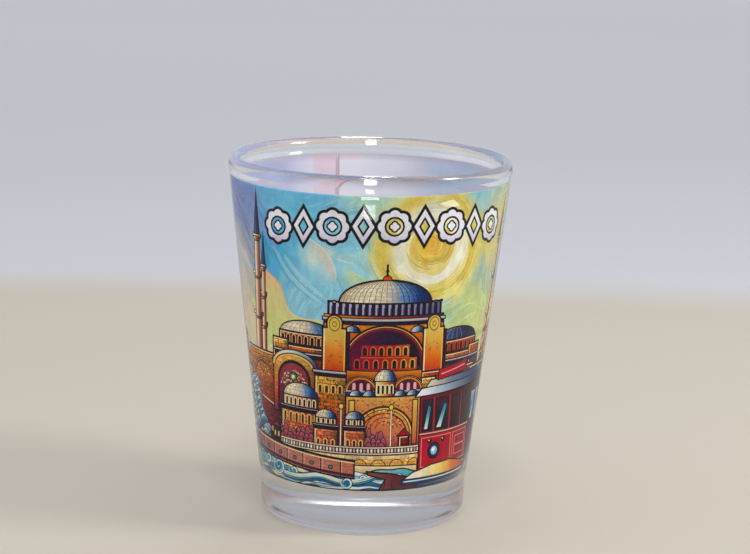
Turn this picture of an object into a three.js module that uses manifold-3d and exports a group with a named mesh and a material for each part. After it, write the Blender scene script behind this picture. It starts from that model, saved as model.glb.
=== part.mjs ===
// A souvenir shot glass: a pressed glass tumbler with a picture printed round its wall.
// The print is a transfer of three thin layers on the outside of the glass: an opaque white ground,
// the colour picture, and a clear gloss coat that seals both.
// Millimetres, +Z up. The origin is the centre of the foot's resting plane, and -Y is the picture's front.
import * as THREE from "three";
import Module from "manifold-3d";
import { mergeVertices } from "three/addons/utils/BufferGeometryUtils.js";

const wasm = await Module();
wasm.setup();

// Driving dimensions of the glass
const HEIGHT = 60;
const RIM_RADIUS = 23.2; // widest point of the fire-polished lip
const LIP_DEPTH = 1.9; // how far that point lies below the crest
const WALL_FOOT = { radius: 17.1, z: 7.2 }; // where the straight outer wall starts
const WALL_TOP = { radius: 22.9, z: 57.4 }; // where it runs into the lip
const FOOT_RADIUS = 16.95;
const FOOT_CORNER = 2.6; // radius between the foot's side and its underside
const RIM_WALL = 1.7; // wall thickness under the lip
const BASE_WALL = 2.9; // wall thickness where the bore meets its floor fillet
const FLOOR_Z = 9; // thickness of the solid base at its centre
const FLOOR_RISE = 0.4; // the floor is a shallow dish, this much higher at its edge
const FLOOR_FILLET = 4.2;
const PUNT_RADIUS = 11.2; // hollow under the foot, inside the resting ring
const PUNT_DEPTH = 0.9;
const PUNT_SLOPE = 1.6; // width of the hollow's sloping edge

// Driving dimensions of the print
const PRINT_BOTTOM = 8.2;
const PRINT_TOP = 57;
const LAYER = 0.05; // thickness of each layer
const LAYER_GAP = 0.01; // clearance between one layer and the next
const COAT_MARGIN = 0.15; // the clear coat reaches this far past the ink
const SEAM_GAP = 0.3; // the wrap's two ends stop this far apart
const SEAM_ANGLE = 105; // degrees round from +X, so the seam is at the back

const SEGMENTS = 96; // every turned piece shares it, so that facets of neighbouring layers line up
const ARC_STEPS = 6;

const degrees = THREE.MathUtils.degToRad;

// Radius of the glass's straight outer wall at a height.
function wallRadius(z) {
  const share = (z - WALL_FOOT.z) / (WALL_TOP.z - WALL_FOOT.z);
  return THREE.MathUtils.lerp(WALL_FOOT.radius, WALL_TOP.radius, share);
}

// Points on a quarter turn or less of an ellipse, from one angle to another.
function arc(centreR, centreZ, radiusR, radiusZ, fromDeg, toDeg, steps = ARC_STEPS) {
  const points = [];
  for (let i = 0; i <= steps; i++) {
    const a = degrees(THREE.MathUtils.lerp(fromDeg, toDeg, i / steps));
    points.push([centreR + radiusR * Math.cos(a), centreZ + radiusZ * Math.sin(a)]);
  }
  return points;
}

// Turns a closed profile of [radius, height] points about Z. LatheGeometry turns about Y, so it is stood up.
function turned(profile) {
  const points = profile.map(([r, z]) => new THREE.Vector2(r, z));
  return new THREE.LatheGeometry(points, SEGMENTS).rotateX(Math.PI / 2);
}

function solidOf(geometry) {
  const bare = new THREE.BufferGeometry();
  bare.setAttribute("position", geometry.getAttribute("position"));
  bare.setIndex(geometry.getIndex());
  const merged = mergeVertices(bare, 1e-3);
  const mesh = new wasm.Mesh({
    numProp: 3,
    vertProperties: merged.attributes.position.array,
    triVerts: new Uint32Array(merged.index.array),
  });
  return new wasm.Manifold(mesh);
}

function geometryOf(solid) {
  const mesh = solid.getMesh();
  const geometry = new THREE.BufferGeometry();
  geometry.setAttribute("position", new THREE.BufferAttribute(mesh.vertProperties, 3));
  geometry.setIndex(new THREE.BufferAttribute(mesh.triVerts, 1));
  geometry.computeVertexNormals();
  return geometry;
}

// The tumbler: foot, tapered wall, rounded lip, tapered bore with a filleted floor.
function glassBody() {
  const footCentre = FOOT_RADIUS - FOOT_CORNER;
  const lipWidth = RIM_WALL / 2 + 0.1;
  const crestRadius = RIM_RADIUS - lipWidth;
  const widestZ = HEIGHT - LIP_DEPTH;
  const boreTop = { radius: WALL_TOP.radius - RIM_WALL, z: WALL_TOP.z };
  const filletTopZ = FLOOR_Z + FLOOR_RISE + FLOOR_FILLET;
  const boreBottom = wallRadius(filletTopZ) - BASE_WALL;
  const filletCentre = boreBottom - FLOOR_FILLET;
  const innerLip = crestRadius - boreTop.radius;
  const profile = [
    [0, PUNT_DEPTH],
    [PUNT_RADIUS - PUNT_SLOPE, PUNT_DEPTH * 0.85],
    [PUNT_RADIUS - PUNT_SLOPE / 2, PUNT_DEPTH * 0.55],
    [PUNT_RADIUS, 0],
    ...arc(footCentre, FOOT_CORNER, FOOT_CORNER, FOOT_CORNER, -90, 0),
    [WALL_FOOT.radius, WALL_FOOT.z],
    [WALL_TOP.radius, WALL_TOP.z],
    ...arc(crestRadius, widestZ, lipWidth, LIP_DEPTH, 0, 90),
    ...arc(crestRadius, widestZ, innerLip, LIP_DEPTH, 90, 180).slice(1),
    [boreTop.radius, boreTop.z],
    ...arc(filletCentre, filletTopZ, FLOOR_FILLET, FLOOR_FILLET, 0, -90),
    [filletCentre / 2, FLOOR_Z + FLOOR_RISE / 4],
    [0, FLOOR_Z],
  ];
  return turned(profile);
}

// A conical sleeve that follows the outer wall, a number of layers out from the glass.
function printLayer(index, bottom, top) {
  const offset = LAYER_GAP + index * (LAYER + LAYER_GAP);
  const inner = (z) => wallRadius(z) + offset;
  const profile = [
    [inner(bottom), bottom],
    [inner(bottom) + LAYER, bottom],
    [inner(top) + LAYER, top],
    [inner(top), top],
    [inner(bottom), bottom],
  ];
  return turned(profile);
}

// Opens a sleeve along the seam where the two ends of the wrap meet.
function withSeam(geometry) {
  const reach = RIM_RADIUS * 2;
  const cutter = new THREE.BoxGeometry(reach, SEAM_GAP, HEIGHT * 2);
  cutter.translate(reach / 2, 0, HEIGHT / 2);
  cutter.rotateZ(degrees(SEAM_ANGLE));
  return geometryOf(solidOf(geometry).subtract(solidOf(cutter)));
}

const materials = {
  glass: new THREE.MeshStandardMaterial({
    color: 0xeef3f3,
    roughness: 0.05,
    metalness: 0,
    transparent: true,
    opacity: 0.3,
  }),
  whiteInk: new THREE.MeshStandardMaterial({ color: 0xe9e6ea, roughness: 0.5, metalness: 0 }),
  colourInk: new THREE.MeshStandardMaterial({ color: 0x6fb9cf, roughness: 0.4, metalness: 0 }),
  clearCoat: new THREE.MeshStandardMaterial({
    color: 0xffffff,
    roughness: 0.1,
    metalness: 0,
    transparent: true,
    opacity: 0.15,
  }),
};

const shotGlass = new THREE.Group();

function addPiece(name, geometry, material) {
  const mesh = new THREE.Mesh(geometry, material);
  mesh.name = name;
  shotGlass.add(mesh);
}

addPiece("glass_body", glassBody(), materials.glass);
addPiece("white_ground", withSeam(printLayer(0, PRINT_BOTTOM, PRINT_TOP)), materials.whiteInk);
addPiece("colour_picture", withSeam(printLayer(1, PRINT_BOTTOM, PRINT_TOP)), materials.colourInk);
addPiece(
  "clear_coat",
  printLayer(2, PRINT_BOTTOM - COAT_MARGIN, PRINT_TOP + COAT_MARGIN),
  materials.clearCoat,
);

export default shotGlass;
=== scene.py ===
"""A printed shot glass: clear pressed glass, a white ground, a colour picture and a clear coat.

The picture is drawn here as flat inked shapes on sheets, in millimetres, and each sheet is wrapped round
the glass as a thin closed skin. On a sheet, x runs round the wall from the sheet's azimuth and z runs up it.
Azimuth 0 is the front (-Y) and grows towards +X. Scenery is numbers in millimetres too: where a shape starts
and ends on its sheet, and how wide its outline is.
"""

import math
import random

import bpy
from mathutils import Matrix, Vector, noise
from mathutils.geometry import delaunay_2d_cdt


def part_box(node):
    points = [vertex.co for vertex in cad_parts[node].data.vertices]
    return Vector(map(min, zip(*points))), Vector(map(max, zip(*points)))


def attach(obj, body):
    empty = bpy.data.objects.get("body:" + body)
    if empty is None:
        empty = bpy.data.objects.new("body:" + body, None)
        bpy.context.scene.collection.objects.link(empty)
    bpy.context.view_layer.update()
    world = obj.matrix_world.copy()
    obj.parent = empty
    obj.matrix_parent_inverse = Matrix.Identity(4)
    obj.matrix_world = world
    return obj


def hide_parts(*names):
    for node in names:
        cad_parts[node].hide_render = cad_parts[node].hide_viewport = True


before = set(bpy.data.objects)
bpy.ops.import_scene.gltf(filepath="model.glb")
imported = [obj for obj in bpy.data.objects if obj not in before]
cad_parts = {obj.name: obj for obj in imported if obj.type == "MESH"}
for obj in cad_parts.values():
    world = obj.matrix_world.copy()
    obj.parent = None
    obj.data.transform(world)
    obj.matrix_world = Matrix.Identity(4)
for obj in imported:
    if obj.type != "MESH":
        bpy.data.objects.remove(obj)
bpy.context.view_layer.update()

MM = 0.001
SLICE = 1.0  # degrees of azimuth between two neighbouring vertices of anything wrapped round the glass
ROW = 1.0  # millimetres between two rows of vertices on a sheet whose colours fade
SEED = 11
OUTLINE = 0.24  # usual width of an inked outline, in millimetres
HEAVY = 0.27  # width of a wall's outline


# ---------------------------------------------------------------- sizes from the frame, in millimetres


def node_rings(node):
    """(radius, height) of the outermost vertex at a node's lowest and highest level."""
    points = [v.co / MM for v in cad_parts[node].data.vertices]
    low = min(p.z for p in points)
    high = max(p.z for p in points)
    return [(max(math.hypot(p.x, p.y) for p in points if abs(p.z - z) < 0.01), z) for z in (low, high)]


glass_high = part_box("glass_body")[1]
HEIGHT = glass_high.z / MM
RIM_RADIUS = glass_high.x / MM
PRINT_LOW, PRINT_HIGH = node_rings("colour_picture")
COAT_LOW, COAT_HIGH = node_rings("clear_coat")
WHITE_LOW, WHITE_HIGH = node_rings("white_ground")
WHITE_OUTSIDE = 0.06  # the white ground's outer face stands this far off the glass


def wall(z):
    """Radius of the glass's outer wall at a height."""
    share = (z - WHITE_LOW[1]) / (WHITE_HIGH[1] - WHITE_LOW[1])
    return WHITE_LOW[0] + share * (WHITE_HIGH[0] - WHITE_LOW[0]) - WHITE_OUTSIDE


COAT_LIFT = COAT_LOW[0] - wall(COAT_LOW[1])
COAT_THICKNESS = 0.05
WHITE_LIFT = -0.006  # the ground is bonded to the glass, so its inner face is just inside the glass's skin
SKY_LIFT = 0.036  # inner face of the painted sky
WHITE_GAP = 0.004  # between the white ground and the painted sky
SKIN = 0.003  # thickness of an inked sheet
LEVEL = 0.0045  # distance from one inked sheet to the next
WATER_FOOT = 8.35  # lowest edge of the painted water, just above the print's own
SEAM = -165.0  # azimuth where the two ends of the wrap meet
SEAM_HALF = 0.15  # degrees on each side of it that stay bare
END_STRIP = 12.0  # degrees of plain border at each end of the wrap


def on_wall(azimuth, z, lift):
    """A point of the wrapped print, in metres, from an azimuth in degrees and a height in millimetres."""
    angle = math.radians(azimuth)
    r = (wall(z) + lift) * MM
    return (r * math.sin(angle), -r * math.cos(angle), z * MM)


# ---------------------------------------------------------------- colours


def linear(hex_colour):
    """Linear RGB of an 0xRRGGBB colour."""
    parts = [((hex_colour >> shift) & 255) / 255 for shift in (16, 8, 0)]
    return tuple(c / 12.92 if c <= 0.04045 else ((c + 0.055) / 1.055) ** 2.4 for c in parts)


def blend(a, b, share):
    return tuple(p + (q - p) * share for p, q in zip(a, b))


def smooth(low, high, value):
    share = min(max((value - low) / (high - low), 0.0), 1.0)
    return share * share * (3 - 2 * share)


def among(colours, share):
    """The colour a share of the way through a list of linear colours."""
    place = min(max(share, 0.0), 1.0) * (len(colours) - 1)
    i = min(int(place), len(colours) - 2)
    return blend(colours[i], colours[i + 1], place - i)


def even(colour):
    """The same linear colour everywhere."""
    return lambda x, z: colour


def upward(z0, z1, *hexes):
    """Fades through colours going up."""
    colours = [linear(h) for h in hexes]
    return lambda x, z: among(colours, (z - z0) / (z1 - z0))


def across(x0, x1, *hexes):
    """Fades through colours going right."""
    colours = [linear(h) for h in hexes]
    return lambda x, z: among(colours, (x - x0) / (x1 - x0))


def stone(paint, amount=1.0):
    """The same paint with courses of masonry in it, which the ink's material draws."""
    return lambda x, z: (*paint(x, z)[:3], amount)


def shaded(paint, x0, x1, depth=0.8):
    """The same paint, falling into violet shade towards the right."""
    shade = linear(VIOLET)
    return lambda x, z: blend(paint(x, z), (*shade, 1.0), depth * smooth(0.45, 1.15, (x - x0) / (x1 - x0)))


# inks; a paint is a function of (x, z) on a sheet that gives a linear colour
INK = 0x17111C
# painted shade: the near-black inside deep recesses, the great arch's hollow and its window openings
DEEP_SHADE = 0x170A1E
SHADOW = 0x220E26
VIOLET = 0x2E1230
NIGHT = 0x2A2350
NAVY = 0x27356B
SLATE = 0x6F7C93
STEEL = 0xA9B9C4
PALE = 0xE9E6D8
CREAM = 0xF6E7B8
GOLD = 0xE5B048
HONEY = 0xF2CB66
ORANGE = 0xE88A2C
EMBER = 0xD9541F
BRICK = 0xB85A30
RUST = 0x8E3A26
PLUM = 0x3E1B38
RED = 0xD01F30
WINE = 0x741426
ROSE = 0xEDB4BE
TEAL = 0x3A9DB4
SEA = 0x1F6F94
FOAM = 0xDDF1EC
WHITE = 0xF8F7FA
GREEN = 0x4E7B4A

# walls, from their foot up, and domes, from left to right
SUNLIT = (0x843054, 0xD45A48, 0xEA844C, 0xEEAC58, 0xF0CC74)
RUDDY = (0x4A1838, 0x96302E, 0xC8582E, 0xDC8440)
SALMON = (0x8E3860, 0xD2645A, 0xE4885E, 0xE8A86A)
DUSKY = (0x2E183A, 0x6E263A, 0xAE4A36, 0xCE7C4C)
PALE_DOME = (0xDCCEA2, 0xF8F0D0, 0xF4ECD2, 0xE6DCBE, 0x6E9CCA, 0x1E4A90, 0x281E48)
DARK_DOME = (0x7C98B8, 0x3E5C90, 0x22386E, 0x1A2450, 0x150F26)
BLUE_DOME = (0xB4D0D8, 0xF0F6EA, 0x9BBDCE, 0x44689A, 0x1F2E5E, 0x2B2148)
ROSE_DOME = (0xE8BFA6, 0xF9E2C8, 0xDDA498, 0x8F5078, 0x3A2356, 0x241A44)


# ---------------------------------------------------------------- shapes on a sheet


def rect(x0, z0, x1, z1):
    return [(x0, z0), (x1, z0), (x1, z1), (x0, z1)]


def trapezoid(x, foot, z0, head, z1):
    """An upright shape round x, from half its width at its foot to half its width at its head."""
    return [(x - foot, z0), (x + foot, z0), (x + head, z1), (x - head, z1)]


def gable(x, half, z0, z1):
    return [(x - half, z0), (x + half, z0), (x, z1)]


def lozenge(x, z, half, tall):
    return [(x, z - tall), (x + half, z), (x, z + tall), (x - half, z)]


def arc(x, z, rx, rz, start, end, steps=14):
    """Points along an ellipse between two angles in degrees, counted from +x towards +z."""
    turns = [math.radians(start + (end - start) * i / steps) for i in range(steps + 1)]
    return [(x + rx * math.cos(a), z + rz * math.sin(a)) for a in turns]


def oval(x, z, rx, rz, steps=18):
    return arc(x, z, rx, rz, 0, 360, steps)[:-1]


def arched(x, z, width, height, steps=8):
    """A doorway: straight sides on z and a round head."""
    half = width / 2
    return [(x - half, z), (x + half, z)] + arc(x, z + height - half, half, half, 0, 180, steps)


def petals(x, z, radius, count, depth):
    """A flower's outline: round lobes round a centre."""
    turns = [math.tau * i / (count * 8) for i in range(count * 8)]
    reach = [radius * (1 - depth + depth * abs(math.cos(a * count / 2))) for a in turns]
    return [(x + r * math.sin(a), z + r * math.cos(a)) for a, r in zip(turns, reach)]


def curl(x, z, radius, turns, start):
    """A spiral that winds inwards."""
    steps = 26
    points = []
    for i in range(steps + 1):
        reach, angle = radius * (1 - 0.85 * i / steps), start + turns * math.tau * i / steps
        points.append((x + reach * math.cos(angle), z + reach * math.sin(angle)))
    return points


def smoothed(points):
    """A run of points with its corners rounded (Catmull-Rom)."""
    steps = 6

    def between(a, b, c, d, t):
        bend = (2 * a - 5 * b + 4 * c - d) * t * t + (3 * b - a - 3 * c + d) * t ** 3
        return 0.5 * (2 * b + (c - a) * t + bend)

    padded = [points[0]] + list(points) + [points[-1]]
    result = []
    for group in zip(padded, padded[1:], padded[2:], padded[3:]):
        xs, zs = zip(*group)
        result += [(between(*xs, i / steps), between(*zs, i / steps)) for i in range(steps)]
    return result + [points[-1]]


def ribbon(points, width, closed=False):
    """The outline of a line through points. width is a number, or a function of the share along the line."""
    points = list(points) + ([points[0]] if closed else [])
    last = len(points) - 1
    left, right = [], []
    for i, (x, z) in enumerate(points):
        before = points[i - 1] if i else (points[last - 1] if closed else None)
        after = points[i + 1] if i < last else (points[1] if closed else None)
        ahead = Vector((after[0] - x, after[1] - z)) if after else Vector((x - before[0], z - before[1]))
        behind = Vector((x - before[0], z - before[1])) if before else ahead.copy()
        ahead.normalize()
        behind.normalize()
        mean = ahead + behind
        if mean.length < 0.3:
            mean = ahead.copy()
        mean.normalize()
        stretch = 1 / max(mean.dot(ahead), 0.5)
        half = (width(i / last) if callable(width) else width) / 2 * stretch
        left.append((x - mean.y * half, z + mean.x * half))
        right.append((x + mean.y * half, z - mean.x * half))
    return left + right[::-1]


def tapered(width):
    """A brush stroke's width: thin at both ends."""
    return lambda share: width * (0.12 + 0.88 * math.sin(math.pi * min(max(share, 0), 1)))


class Sheet:
    """Inked shapes in the order they are painted, round one azimuth of the glass."""

    def __init__(self, name, azimuth, level, row=ROW):
        self.name, self.azimuth, self.level, self.row, self.shapes = name, azimuth, level, row, []

    def fill(self, polygon, paint):
        """Paints a shape in a colour or a paint over what is there already. With neither it cuts a hole."""
        if isinstance(paint, int):
            paint = even(linear(paint))
        area = sum(a[0] * b[1] - b[0] * a[1] for a, b in zip(polygon, polygon[1:] + polygon[:1]))
        self.shapes.append((polygon if area > 0 else polygon[::-1], paint))

    def line(self, points, width=OUTLINE, paint=INK, closed=False):
        self.fill(ribbon(points, width, closed), paint)

    def drawn(self, polygon, paint, width=OUTLINE):
        """A filled shape with an inked outline."""
        self.fill(polygon, paint)
        self.line(polygon, width, closed=True)

    def build(self):
        """Wraps the sheet round the glass as one closed skin, coloured by its uppermost shape everywhere."""
        corners, faces = [], []
        for polygon, _ in self.shapes:
            faces.append(list(range(len(corners), len(corners) + len(polygon))))
            corners += [Vector(p) for p in polygon]
        low = min(c.y for c in corners) - 0.5
        high = max(c.y for c in corners) + 0.5
        turns = [math.degrees(c.x / wall(c.y)) / SLICE for c in corners]
        edges, levels = [], [low, high]
        if self.row:
            count = math.ceil((high - low) / self.row)
            levels = [low + (high - low) * i / count for i in range(count + 1)]
        for i in range(math.floor(min(turns)), math.ceil(max(turns)) + 1):
            angle = math.radians(i * SLICE)
            edges.append((len(corners), len(corners) + len(levels) - 1))
            corners += [Vector((angle * wall(z), z)) for z in levels]
        points, _, triangles, _, _, owners = delaunay_2d_cdt(corners, edges, faces, 0, 1e-4, True)
        kept, colours = [], []
        for triangle, owner in zip(triangles, owners):
            paint = self.shapes[max(owner)][1] if owner else None
            if paint:
                kept.append(triangle)
                colours.append([paint(points[v].x, points[v].y) for v in triangle])
        placed = [(self.azimuth + math.degrees(p.x / wall(p.y)), p.y) for p in points]
        return skin(self.name, placed, kept, colours, SKY_LIFT + SKIN + self.level * LEVEL, SKIN)


def skin(name, placed, polygons, colours, lift, thickness):
    """A closed skin round the glass from (azimuth, z) points and outward-facing polygons with corner colours.

    A fourth number in a colour is how much masonry shows in it.
    """
    used = sorted({v for p in polygons for v in p})
    index = {v: i for i, v in enumerate(used)}
    count = len(used)
    verts = [on_wall(*placed[v], lift + thickness) for v in used] + [on_wall(*placed[v], lift) for v in used]
    polygons = [[index[v] for v in p] for p in polygons]
    colours = [[c if len(c) == 4 else (*c, 0.0) for c in colour] for colour in colours]
    faces, paints, sides = [], [], {}
    for polygon, colour in zip(polygons, colours):
        faces.append(polygon)
        paints.append(colour)
        faces.append([v + count for v in reversed(polygon)])
        paints.append(colour[::-1])
        for i, a in enumerate(polygon):
            b = polygon[(i + 1) % len(polygon)]
            sides[(a, b)] = (colour[i], colour[(i + 1) % len(polygon)])
    for (a, b), (first, second) in sides.items():
        if (b, a) not in sides:
            faces.append([b, a, a + count, b + count])
            paints.append([second, first, first, second])
    mesh = bpy.data.meshes.new(name)
    mesh.from_pydata(verts, [], faces)
    layer = mesh.color_attributes.new("paint", "FLOAT_COLOR", "CORNER")
    layer.data.foreach_set("color", [c for p in paints for rgba in p for c in rgba])
    mesh.update()
    return add(name, mesh)


def add(name, mesh):
    piece = bpy.data.objects.new(name, mesh)
    bpy.context.scene.collection.objects.link(piece)
    return piece


def sleeve(name, low, high, lift, thickness, rows, colour_of, seam=True):
    """A skin that goes the whole way round, open along the seam or closed."""
    start = SEAM + (SEAM_HALF if seam else 0)
    span = 360 - (2 * SEAM_HALF if seam else 0)
    columns = round(span / SLICE)
    width = columns + 1 if seam else columns  # vertices in a row
    placed = [
        (start + span * c / columns, low + (high - low) * r / rows)
        for r in range(rows + 1)
        for c in range(width)
    ]
    paint = [colour_of(*p) for p in placed]
    polygons = []
    for r in range(rows):
        for c in range(columns):
            a, b = r * width + c, r * width + (c + 1) % width
            polygons.append([a, b, b + width, a + width])
    return skin(name, placed, polygons, [[paint[v] for v in p] for p in polygons], lift, thickness)


# ---------------------------------------------------------------- the painted sky

SKY_BASE = linear(0x8ED2E4)
# (azimuth, height, reach round the wall, reach up, edge softness, colour), painted in this order
SKY_GLOWS = [
    (-95, 47, 16, 18, 0.5, 0x9FB4DE),
    (-125, 50, 14, 13, 0.6, 0xA4CFEA),
    (-158, 50, 9, 16, 0.5, 0xEDB4C8),
    (180, 50, 12, 16, 0.6, 0xDCCBE8),
    (145, 52, 14, 12, 0.5, 0x9CC6EA),
    (110, 44, 16, 12, 0.6, 0x8CCFD2),
    (-70, 53, 8, 9, 0.4, 0x7F92C2),
    (-66, 38, 7, 9, 0.5, 0xD9D7BC),
    (-38, 56, 13, 6, 0.5, 0x78C6E6),
    (-46, 36, 12, 8, 0.2, 0xD2D8A6),
    (-30, 33, 12, 5, 0.4, 0xE0DA98),
    (-50, 48, 7, 5, 0.25, 0x5CB0DA),
    (-41, 46, 6, 4.5, 0.2, 0x48AADA),
    (-30, 43, 5.5, 4, 0.2, 0x54B2DC),
    (-21, 39, 4.5, 2.6, 0.25, 0x78C6DC),
    (-47, 34.2, 8, 5.6, 0.14, 0xD2D49C),
    (-28, 33.0, 6, 3, 0.3, 0xDCD8A0),
    (-34, 41.2, 3.8, 3.0, 0.25, 0x72C2DA),
    (-50, 38.0, 4.4, 4.4, 0.3, 0xD2D49C),
    (-27, 40.0, 4.5, 3.0, 0.25, 0x92CCD8),
    (-16, 42.5, 4.5, 3.0, 0.4, 0x9CD2E4),
    (-14, 47, 8, 6, 0.5, 0x96DAEC),
    (-26, 47.5, 2.4, 1.8, 0.5, 0xCCE6DC),
    # painted reflection: this grey strip and the one at -78 paint the pale sheen of the wall's left edge,
    # seen from the front, into the sky
    (-67, 46, 3.6, 8, 0.5, 0xBCBCB4),
    (4, 45, 4.4, 3, 0.6, 0xCCE4AE),
    (11, 47, 3.4, 3.2, 0.5, 0xE6DC70),
    (8, 55, 7, 4, 0.6, 0xC2E4CC),
    (50, 46, 7, 8, 0.4, 0xD8CC58),
    (62, 56, 5, 4, 0.4, 0xA2D4D8),
    (76, 47, 7, 10, 0.5, 0xDCCB74),
    (67, 41, 7, 6, 0.4, 0xA2C4BC),
    (74, 34, 10, 5, 0.6, 0xE8DA98),
    (56, 36, 8, 5.5, 0.35, 0xC8D68C),
    # painted reflection: the pale sheen of the wall's left edge, seen from the front, painted into the sky
    (-78, 41, 4.5, 9, 0.5, 0xCBCBD0),
    (-75, 54, 7, 6, 0.5, 0x7F90C8),
    (-110, 33, 22, 7, 0.6, 0xF3E0B4),
    (165, 34, 24, 8, 0.6, 0xF4C8B0),
    (105, 34, 12, 6, 0.6, 0xF2E2A0),
]
GLOWS = [(*glow[:5], linear(glow[5])) for glow in SKY_GLOWS]
SUN = (27, 49.0)
# (distance from the sun's centre, colour)
SUN_RINGS = [
    (0.0, 0xE0AE48),
    (1.2, 0xEABE54),
    (2.0, 0xEED46C),
    (2.9, 0xD6B654),
    (3.7, 0xEADA84),
    (4.6, 0xF4EFC8),
    (5.6, 0xF8F6E0),
    (6.5, 0xF0EBB8),
    (7.2, 0xEAD97C),
    (8.2, 0xE2CA62),
    (9.2, 0xE8DC80),
    (10.6, 0xDEDE94),
]
RINGS = [(distance, linear(colour)) for distance, colour in SUN_RINGS]
SUN_REACH = 12.2


def turned_by(azimuth, centre):
    return (azimuth - centre + 180) % 360 - 180


def sky_colour(azimuth, z, detail=True):
    """The painted sky's colour at a place on the wall."""
    angle = math.radians(azimuth)
    here = Vector((20 * math.sin(angle), 20 * math.cos(angle), z))
    drift = noise.noise(here * 0.11) * 2.6 + noise.noise(here * 0.31) * 2.2 + noise.noise(here * 0.9) * 0.9
    rise = noise.noise(here * 0.13 + Vector((31, 7, 5))) * 2.2 + noise.noise(here * 0.42) * 1.3
    colour = SKY_BASE
    for centre, height, reach_x, reach_z, soft, paint in GLOWS:
        dx = math.radians(turned_by(azimuth, centre)) * 20 + drift
        dz = z - height + rise + 0.35 * drift
        share = smooth(1 + soft, 1 - soft, math.hypot(dx / reach_x, dz / reach_z))
        if share:
            colour = blend(colour, paint, share * 0.92)
    dx = math.radians(turned_by(azimuth, SUN[0])) * wall(z)
    dz = z - SUN[1]
    wobble = noise.noise(here * 0.4) * 0.5
    distance = math.hypot(dx, dz) + wobble + 0.35 * math.sin(3 * math.atan2(dz, dx))
    if distance < SUN_REACH:
        ring = RINGS[-1][1]
        for (d0, c0), (d1, c1) in zip(RINGS, RINGS[1:]):
            if distance < d1:
                ring = blend(c0, c1, min(max((distance - d0) / (d1 - d0), 0), 1))
                break
        colour = blend(ring, colour, smooth(8.6, SUN_REACH, distance))
    if detail:
        streak = noise.noise(Vector((here.x * 0.5 + z * 0.25, here.y * 0.5, z * 1.3 + drift)))
        colour = tuple(max(c * (1 + 0.12 * streak), 0) for c in colour)
    return colour


# (strokes on a sheet, width, steps, tones, share of white mixed in), from the broadest to the finest
STROKE_TIERS = [
    (30, 1.7, 16, (0.9, 0.96, 1.04, 1.08), 0.04),
    (44, 0.55, 16, (0.88, 0.94, 1.05, 1.1), 0.06),
    (26, 0.16, 14, (0.8, 0.88, 1.12), 0.2),
]
STROKE_STEP = 0.45
# long bends in the sky left of the sun: (shift to the right, colour, width, height of the upper end)
BENDS = [
    (0.0, 0x3F8EC0, 0.34, 51.0),
    (0.9, 0xBFE6F0, 0.9, 47.6),
    (1.7, 0x3F8EC0, 0.26, 49.4),
    (3.0, 0xC6ECF2, 0.7, 46.6),
]


def flow(azimuth, z):
    """Which way the paint runs at a place: round the sun near it, and in long bends elsewhere."""
    dx = math.radians(turned_by(azimuth, SUN[0])) * wall(z)
    dz = z - SUN[1]
    far = smooth(9, 15, math.hypot(dx, dz))
    turn = math.pi * 0.9 * noise.noise(Vector((azimuth * 0.03, z * 0.06, 2.2))) - 0.75
    around = math.atan2(dz, dx) + math.pi / 2
    step = Vector(((1 - far) * math.cos(around) + far * math.cos(turn),
                   (1 - far) * math.sin(around) + far * math.sin(turn)))
    return step.normalized() if step.length > 0.01 else Vector((1, 0))


def brush_stroke(sheet, rng, width, steps, tones, white):
    """One stroke in the sky's own colour, a little lighter or darker, from a random place along the flow."""
    top = PRINT_HIGH[1] - 0.3
    x = rng.uniform(-6.2, 6.2)
    z = rng.uniform(30, PRINT_HIGH[1] - 0.8)
    tone = rng.choice(tones)
    colour = sky_colour(sheet.azimuth + math.degrees(x / wall(z)), z, False)
    colour = blend(colour, linear(WHITE), white * (tone > 1))
    points = [(x, z)]
    for _ in range(rng.randint(steps // 2, steps)):
        way = flow(sheet.azimuth + math.degrees(x / wall(z)), z)
        x += STROKE_STEP * way.x
        z += STROKE_STEP * way.y
        if z > top - width / 2:
            break
        points.append((x, z))
    if len(points) > 3:
        paint = even(tuple(min(c * tone, 0.95) for c in colour))
        sheet.line(points, tapered(width * rng.uniform(0.6, 1.2)), paint)


def sky_strokes(rng):
    """Brush strokes that follow the sky's flow and curl round the sun, broad ones under fine ones."""
    sheets = []
    for sector in range(8):
        sheet = Sheet(f"print_sky_strokes_{sector + 1}", -150 + sector * 45, 0, 0)
        for count, *tier in STROKE_TIERS:
            for _ in range(count):
                brush_stroke(sheet, rng, *tier)
        for _ in range(8):
            x, z = rng.uniform(-7, 7), rng.uniform(36, PRINT_HIGH[1] - 1.3)
            sheet.fill(oval(x, z, 0.12, 0.12, 6), WHITE)
        sheets.append(sheet)
    return sheets


def wash(sheet, tint, share):
    """A thin wash: the sky's own colour on a sheet, moved towards a tint by share(x, z)."""
    tone = linear(tint)
    return lambda x, z: blend(sky_colour(sheet.azimuth + math.degrees(x / wall(z)), z), tone, share(x, z))


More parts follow.
